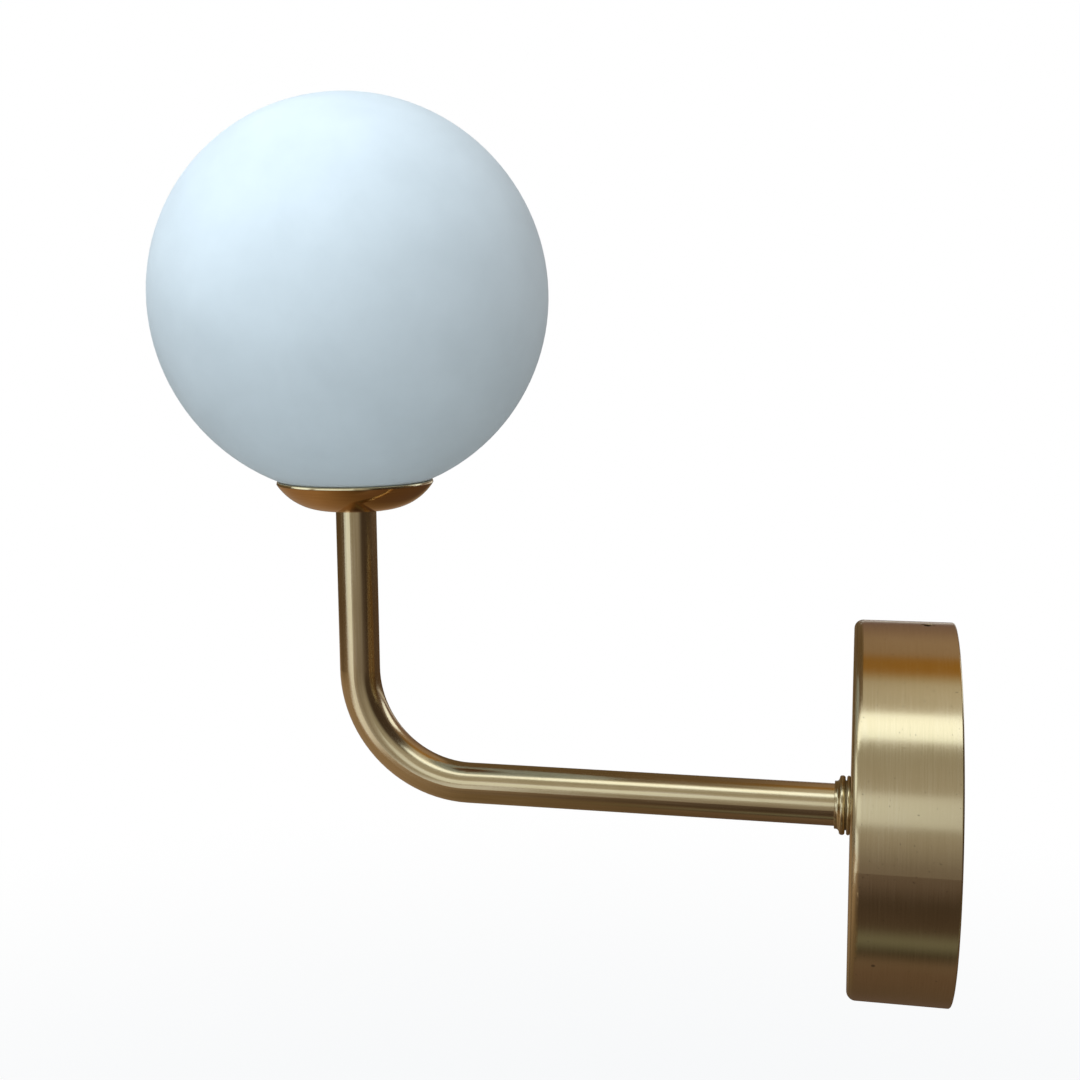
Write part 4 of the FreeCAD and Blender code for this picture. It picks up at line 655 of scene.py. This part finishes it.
steatite = moulded("pressed_steatite", ("#D5CFC0", "#DDD8CA", "#E4E0D4"), 0.5, (0.60, 0.75), 0.03)
glazed_alumina = moulded("glazed_alumina", ("#E6E4DD", "#EBE9E3", "#F0EEE9"), 2.0, (0.22, 0.32), 0.01)
nylon = moulded("moulded_nylon", ("#DEDED6", "#E4E4DD", "#EAEAE4"), 1.5, (0.42, 0.55), 0.01)
scatter = {"Subsurface Weight": 0.2, "Subsurface Radius": (0.002, 0.002, 0.002), "Subsurface Scale": 1.0}
silicone = moulded("clear_silicone", ("#D9D7CC", "#DFDDD3", "#E5E3DA"), 2.5, (0.50, 0.62), 0.01, **scatter)
board = moulded("white_solder_mask", ("#E2E4E2", "#E8EAE8", "#EEF0EE"), 1.0, (0.30, 0.40), 0.005)
phosphor = moulded("yellow_phosphor", ("#E3C23F", "#EBCC4C", "#F1D65E"), 0.4, (0.25, 0.35), 0.01)
brown_lead = moulded("brown_silicone", ("#4E2E1E", "#593624", "#64402C"), 0.8, (0.45, 0.58), 0.01)
blue_lead = moulded("blue_silicone", ("#2C4F8E", "#34599B", "#3E64A8"), 0.8, (0.45, 0.58), 0.01)
print("eight moulded finishes")

# %% [markdown]
# ## Earth lead
# An earth lead is green with a yellow stripe down its length. The stripe is set
# by which way the skin faces, so it stays on one side of the bent lead.

# %% Earth lead
WAVER = 0.12
earth_lead = new_finish("green_yellow_silicone")
tree = earth_lead.node_tree
facing = add_node(tree, "ShaderNodeNewGeometry")
parts = add_node(tree, "ShaderNodeSeparateXYZ", {0: facing.outputs["Normal"]})
waver = add_node(tree, "ShaderNodeMath", {0: clouds(tree, 2.0), 1: WAVER, 2: -WAVER / 2},
                 operation="MULTIPLY_ADD")
edge = add_node(tree, "ShaderNodeMath", {0: parts.outputs["X"], 1: waver.outputs[0]}, operation="ADD")
colour = add_node(tree, "ShaderNodeValToRGB", {"Fac": edge.outputs[0]},
                  stops=[(0.10, "#3F7A34"), (0.22, "#468239"), (0.26, "#D9C93C"), (0.9, "#E3D348")])
surface = add_node(tree, "ShaderNodeBsdfPrincipled",
                   {"Base Color": colour.outputs["Color"], "Roughness": 0.5})
close(earth_lead, surface.outputs[0])
print(earth_lead.name)

# %% [markdown]
# ## Clear cover
# The lamp's cover is thin clear glass: all of the light goes through, bent as by
# glass, with a faint cool tint.

# %% Clear cover
clear_cover = new_finish("clear_lamp_glass")
tree = clear_cover.node_tree
tint = add_node(tree, "ShaderNodeValToRGB", {"Fac": clouds(tree, 8)},
                stops=[(0.3, "#F2F7F7"), (0.7, "#FAFCFC")])
surface = add_node(tree, "ShaderNodeBsdfPrincipled",
                   {"Base Color": tint.outputs["Color"], "Roughness": 0.02, "IOR": 1.5,
                    "Transmission Weight": 1.0})
close(clear_cover, surface.outputs[0])
print(clear_cover.name)

# %% [markdown]
# ## Finishes on their pieces
# The record names a slot for each node, and each slot has its finish above. The
# brass slot is shared by pieces that were brushed or turned in different ways, so
# three nodes are given theirs by name.

# %% Finishes on their pieces
SLOT_FINISH = {
    "brushed_brass": brushed_brass, "polished_brass": polished_brass, "zinc_steel": zinc_steel,
    "turned_aluminium": turned_aluminium, "raw_brass": raw_brass, "spring_nickel": spring_nickel,
    "opal_glass": opal_glass, "clear_cover": clear_cover, "silicone": silicone,
    "lamp_ceramic": glazed_alumina, "holder_ceramic": steatite, "white_nylon": nylon,
    "board_white": board, "phosphor": phosphor, "brown_lead": brown_lead, "blue_lead": blue_lead,
    "earth_lead": earth_lead,
}
OWN_FINISH = {"arm_tube": tube_brass, "arm_collar": turned_brass, "canopy_screws": turned_brass}

for subpart in frame["record"]["subparts"]:
    name = subpart["node"]
    finish = OWN_FINISH.get(name, SLOT_FINISH[subpart["material_slot"]])
    piece = frame["nodes"][name]
    piece.data.materials.clear()
    piece.data.materials.append(finish)
print(len(frame["nodes"]), "nodes finished")

# %% [markdown]
# ## Making a piece
# Some shapes are too fine for the CAD model: the beads of the collar, threads and
# the teeth of a washer. They are made from points and faces, in millimetres. Two
# functions say where a point lies: one counts out from the wall along the arm,
# the other counts up the lamp. Whatever shares those axes is made with them.

# %% Making a piece
LAMP_Y = GLOBE_AXIS.y / MM
SHARP_ANGLE = math.radians(35)
SAME_POINT = 1e-6


def at_arm(radius, turn, along):
    """A point round the arm's axis; along counts out from the wall."""
    return (radius * math.cos(turn), -along, radius * math.sin(turn))


def at_lamp(radius, turn, along):
    """A point round the lamp's upright axis; along is its height."""
    return (radius * math.cos(turn), LAMP_Y + radius * math.sin(turn), along)


def new_piece(name, points, faces, finish, body, slot_name):
    """A smooth mesh from points in millimetres, tied to its body; slot_name is not used."""
    mesh = bpy.data.meshes.new(name)
    mesh.from_pydata([Vector(point) * MM for point in points], [], faces)
    shape = bmesh.new()
    shape.from_mesh(mesh)
    bmesh.ops.remove_doubles(shape, verts=shape.verts, dist=SAME_POINT)
    bmesh.ops.recalc_face_normals(shape, faces=shape.faces)
    shape.to_mesh(mesh)
    shape.free()
    mesh.shade_smooth()
    mesh.set_sharp_from_angle(angle=SHARP_ANGLE)
    mesh.materials.append(finish)
    piece = bpy.data.objects.new(name, mesh)
    bpy.context.scene.collection.objects.link(piece)
    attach(piece, body)
    print(name, "has", len(mesh.polygons), "faces")
    return piece


def loft(rings, closed):
    """Faces between equal rings of points, each ring closed; closed joins the last to the first."""
    count = len(rings[0])
    points = [point for ring in rings for point in ring]
    pairs = [(i, (i + 1) % len(rings)) for i in range(len(rings) if closed else len(rings) - 1)]
    faces = [(a * count + k, a * count + (k + 1) % count, b * count + (k + 1) % count, b * count + k)
             for a, b in pairs for k in range(count)]
    return points, faces


# %% [markdown]
# ## Collar
# The collar is turned from bar: two rounded beads against the canopy, and a
# hollow that runs down to the tube. Its section is drawn as pairs of a radius
# and a distance from the canopy, then spun round the arm. The beads are halves of
# an ellipse, because a bead's highlight is only as soft as its curve.

# %% Collar
NIPPLE_HOLE, TUBE_HOLE, TUBE_HOLE_DEPTH = 5.05, 6.3, 2.0
COLLAR_END = 4.62


def bead(radius, along, rise, half_width, steps=12):
    """Points over a bead, from the canopy's side to the tube's side."""
    turns = [math.pi * (i / steps - 0.5) for i in range(steps + 1)]
    return [(radius + rise * math.cos(turn), along + half_width * math.sin(turn)) for turn in turns]


collar_section = [(NIPPLE_HOLE, 0), *bead(8.2, 0.54, 0.5, 0.54)]
collar_section += [(7.3, 1.12), (7.3, 1.46), *bead(8.1, 2.34, 0.62, 0.84)]
collar_section += [(7.7, 3.24), (7.35, 3.44), (7.15, 3.66), (7.05, 3.9), (7.02, 4.5), (6.9, COLLAR_END)]
collar_section += [(TUBE_HOLE, COLLAR_END), (TUBE_HOLE, TUBE_HOLE_DEPTH), (NIPPLE_HOLE, TUBE_HOLE_DEPTH)]
SIDES = 128
rings = [[at_arm(radius, 2 * math.pi * i / SIDES, COLLAR_FACE + along) for radius, along in collar_section]
         for i in range(SIDES)]
collar = new_piece("turned_collar", *loft(rings, True), turned_brass, "fixture", "brushed_brass")
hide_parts("arm_collar")

# %% [markdown]
# ## Rim of the dish and soft ring
# The glass hides the soft ring almost wholly: its edge lies back in the shade of
# the rim. The dish's sheet is rolled into a fine bead there, and that bead draws
# the bright line under the glass, partly by its shape and partly by its paler
# brass, which is a painted highlight. Both sections are spun round the lamp's axis.

# %% Rim of the dish and soft ring
RIM_HEIGHT = 93.71
GLOBE_RADIUS, GLOBE_HEIGHT = 60.0, 150.0
RING_GAP = 0.1


def under_glass(radius):
    """The height of the soft ring's top at a radius, just below the globe."""
    return GLOBE_HEIGHT - math.sqrt((GLOBE_RADIUS + RING_GAP) ** 2 - radius ** 2)


# Each point of the bead is a radius and a rise above the edge of the sheet.
bead_section = [(radius, RIM_HEIGHT + rise) for radius, rise in (
    (23.9, 0.01), (24.0, 0.08), (23.975, 0.24), (23.94, 0.42), (23.90, 0.60), (23.82, 0.72),
    (23.68, 0.80), (23.50, 0.84), (23.28, 0.76), (23.12, 0.5), (23.12, 0.01))]
RING_IN, RING_OUT = 21.1, 23.05
ring_section = [(RING_IN, RIM_HEIGHT - 0.8), (21.9, RIM_HEIGHT - 0.8), (22.8, RIM_HEIGHT + 0.05),
                (RING_OUT, RIM_HEIGHT + 0.05)]
ring_section += [(radius, under_glass(radius)) for radius in (RING_OUT, 22.6, 22.1, 21.6, RING_IN)]
for name, section, finish, body, slot_name in (
        ("rolled_rim", bead_section, rim_painted_highlight_brass, "fixture", "polished_brass"),
        ("soft_ring_under_glass", ring_section, silicone, "soft_ring", "silicone")):
    rings = [[at_lamp(radius, 2 * math.pi * i / SIDES, along) for radius, along in section]
             for i in range(SIDES)]
    spun = new_piece(name, *loft(rings, True), finish, body, slot_name)
    if body == "soft_ring":
        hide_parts("glass_gasket")

# %% [markdown]
# ## Threaded nipples
# Two hollow nipples of M10 x 1 thread join the arm to the canopy and to the
# lampholder. The thread is a helix: each row of points climbs by one pitch in a
# turn, and rows at the crest and at the root follow each other by half a pitch.
# Rows past an end are pressed flat there, which closes the thread neatly.

# %% Threaded nipples
CREST, ROOT, BORE, PITCH = 4.95, 4.42, 3.6, 1.0
SPARE_ROWS, TURNS_BEFORE = 8, 1.5


def threaded(place, low, high, sides=40):
    """Points and faces of a hollow threaded nipple between two places on its axis."""
    rows = int(2 * (high - low) / PITCH) + SPARE_ROWS
    points = []
    for i in range(sides):
        turn = 2 * math.pi * i / sides
        for j in range(rows):
            along = low + PITCH * (j / 2 + i / sides - TURNS_BEFORE)
            inside = low + PITCH / 4 < along < high - PITCH / 4
            radius = CREST if j % 2 and inside else ROOT
            points.append(place(radius, turn, min(max(along, low), high)))
        points += [place(BORE, turn, low), place(BORE, turn, high),
                   place(ROOT, turn, low), place(ROOT, turn, high)]
    faces = []
    step = rows + 4
    for i in range(sides):
        here, there = i * step, (i + 1) % sides * step
        shift = 2 if i == sides - 1 else 0
        faces += [(here + j, there + j + shift, there + j + shift + 1, here + j + 1)
                  for j in range(rows - 1 - shift)]
        low_bore, high_bore, low_root, high_root = (here + rows + k for k in range(4))
        low_next, high_next, low_root_next, high_root_next = (there + rows + k for k in range(4))
        faces += [(low_bore, high_bore, high_next, low_next),
                  (low_bore, low_next, low_root_next, low_root),
                  (high_bore, high_root, high_root_next, high_next)]
    return points, faces


for node, place, low, high in (("arm_nipple", at_arm, 20.0, 42.5),
                               ("holder_nipple", at_lamp, 73.61, 95.61)):
    nipple = new_piece("threaded_" + node, *threaded(place, low, high), zinc_steel,
                       "fixture", "zinc_steel")
    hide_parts(node)

# %% [markdown]
# ## Toothed washer
# The washer behind the nut bites into both faces and keeps the arm from turning.
# It is a flat ring with 18 teeth, each twisted out of the ring's plane.

# %% Toothed washer
TEETH = 18
WASHER_MIDDLE = 26.0
FLAT_IN, FLAT_OUT, TOOTH_END = 5.05, 6.4, 8.0
FLAT_HALF, TWIST_HALF = 0.25, 0.5
FOOT_SHARE, TIP_START, TIP_END = 0.62, 0.04, 0.52
points = []
faces = []
for i in range(TEETH):
    start = 2 * math.pi * i / TEETH
    tooth = 2 * math.pi / TEETH
    base = len(points)
    for share in (0.0, FOOT_SHARE, 1.0):
        for radius in (FLAT_IN, FLAT_OUT):
            for side in (-1, 1):
                points.append(at_arm(radius, start + tooth * share, WASHER_MIDDLE + side * FLAT_HALF))
    for share, lean in ((TIP_START, -1), (TIP_END, 1)):
        for side in (-1, 1):
            middle = lean * (TWIST_HALF - FLAT_HALF)
            points.append(at_arm(TOOTH_END, start + tooth * share,
                                 WASHER_MIDDLE + middle + side * FLAT_HALF))
    near, mid, far, tip = base, base + 4, base + 8, base + 12
    for a, b in ((near, mid), (mid, far)):
        faces += [(a, a + 2, b + 2, b), (a + 1, b + 1, b + 3, a + 3), (a, b, b + 1, a + 1)]
    faces += [(mid + 2, mid + 3, far + 3, far + 2), (near + 2, tip, tip + 2, mid + 2),
              (near + 3, mid + 3, tip + 3, tip + 1), (near + 2, near + 3, tip + 1, tip),
              (mid + 2, tip + 2, tip + 3, mid + 3), (tip, tip + 1, tip + 3, tip + 2)]
washer = new_piece("toothed_arm_washer", points, faces, zinc_steel, "fixture", "zinc_steel")
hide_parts("arm_washer")

# %% [markdown]
# ## Screw ribs of globe and carrier
# The globe screws down on two coarse ribs of 4 mm pitch: one turned on the
# aluminium carrier, one moulded inside the glass mouth. Each is a rounded strip
# wound into a helix that fades out at both ends. They lie half a pitch apart, so
# they slide along each other while the globe turns, and show when it is lifted.

# %% Screw ribs
RIB_PITCH = 4.0
RIB_HALF = 0.9
CARRIER_SKIN, CARRIER_RIB_TIP, CARRIER_RIB_START = 15.3, 15.58, 92.95
GLASS_SKIN, GLASS_RIB_TIP, GLASS_RIB_START = 15.7, 15.42, 90.95
SUNK = 0.02
FADE_RATE, FADE_LEAST = 8, 0.12


def rib(start_height, first_turn, last_turn, foot, tip, steps=64):
    """A strip wound round the lamp's axis; start_height is its height at turn 0."""
    outline = [(0, -1), (0.55, -0.85), (0.9, -0.5), (1, 0), (0.9, 0.5), (0.55, 0.85), (0, 1), (-0.3, 0)]
    count = int((last_turn - first_turn) * steps)
    rings = []
    for i in range(count + 1):
        turns = first_turn + (last_turn - first_turn) * i / count
        fade = min(1.0, FADE_RATE * min(i, count - i) / steps + FADE_LEAST)
        rings.append([at_lamp(foot + (tip - foot) * rise * fade, 2 * math.pi * turns,
                              start_height + RIB_PITCH * turns + RIB_HALF * fade * side)
                      for rise, side in outline])
    points, faces = loft(rings, False)
    ring = len(outline)
    return points, faces + [tuple(range(ring)), tuple(range(len(points) - ring, len(points)))]


new_piece("carrier_rib", *rib(CARRIER_RIB_START, 0, 1.9, CARRIER_SKIN - SUNK, CARRIER_RIB_TIP),
          turned_aluminium, "fixture", "turned_aluminium")
new_piece("globe_rib", *rib(GLASS_RIB_START, 0.4, 2.45, GLASS_SKIN + SUNK, GLASS_RIB_TIP),
          opal_glass, "glass", "opal_glass")
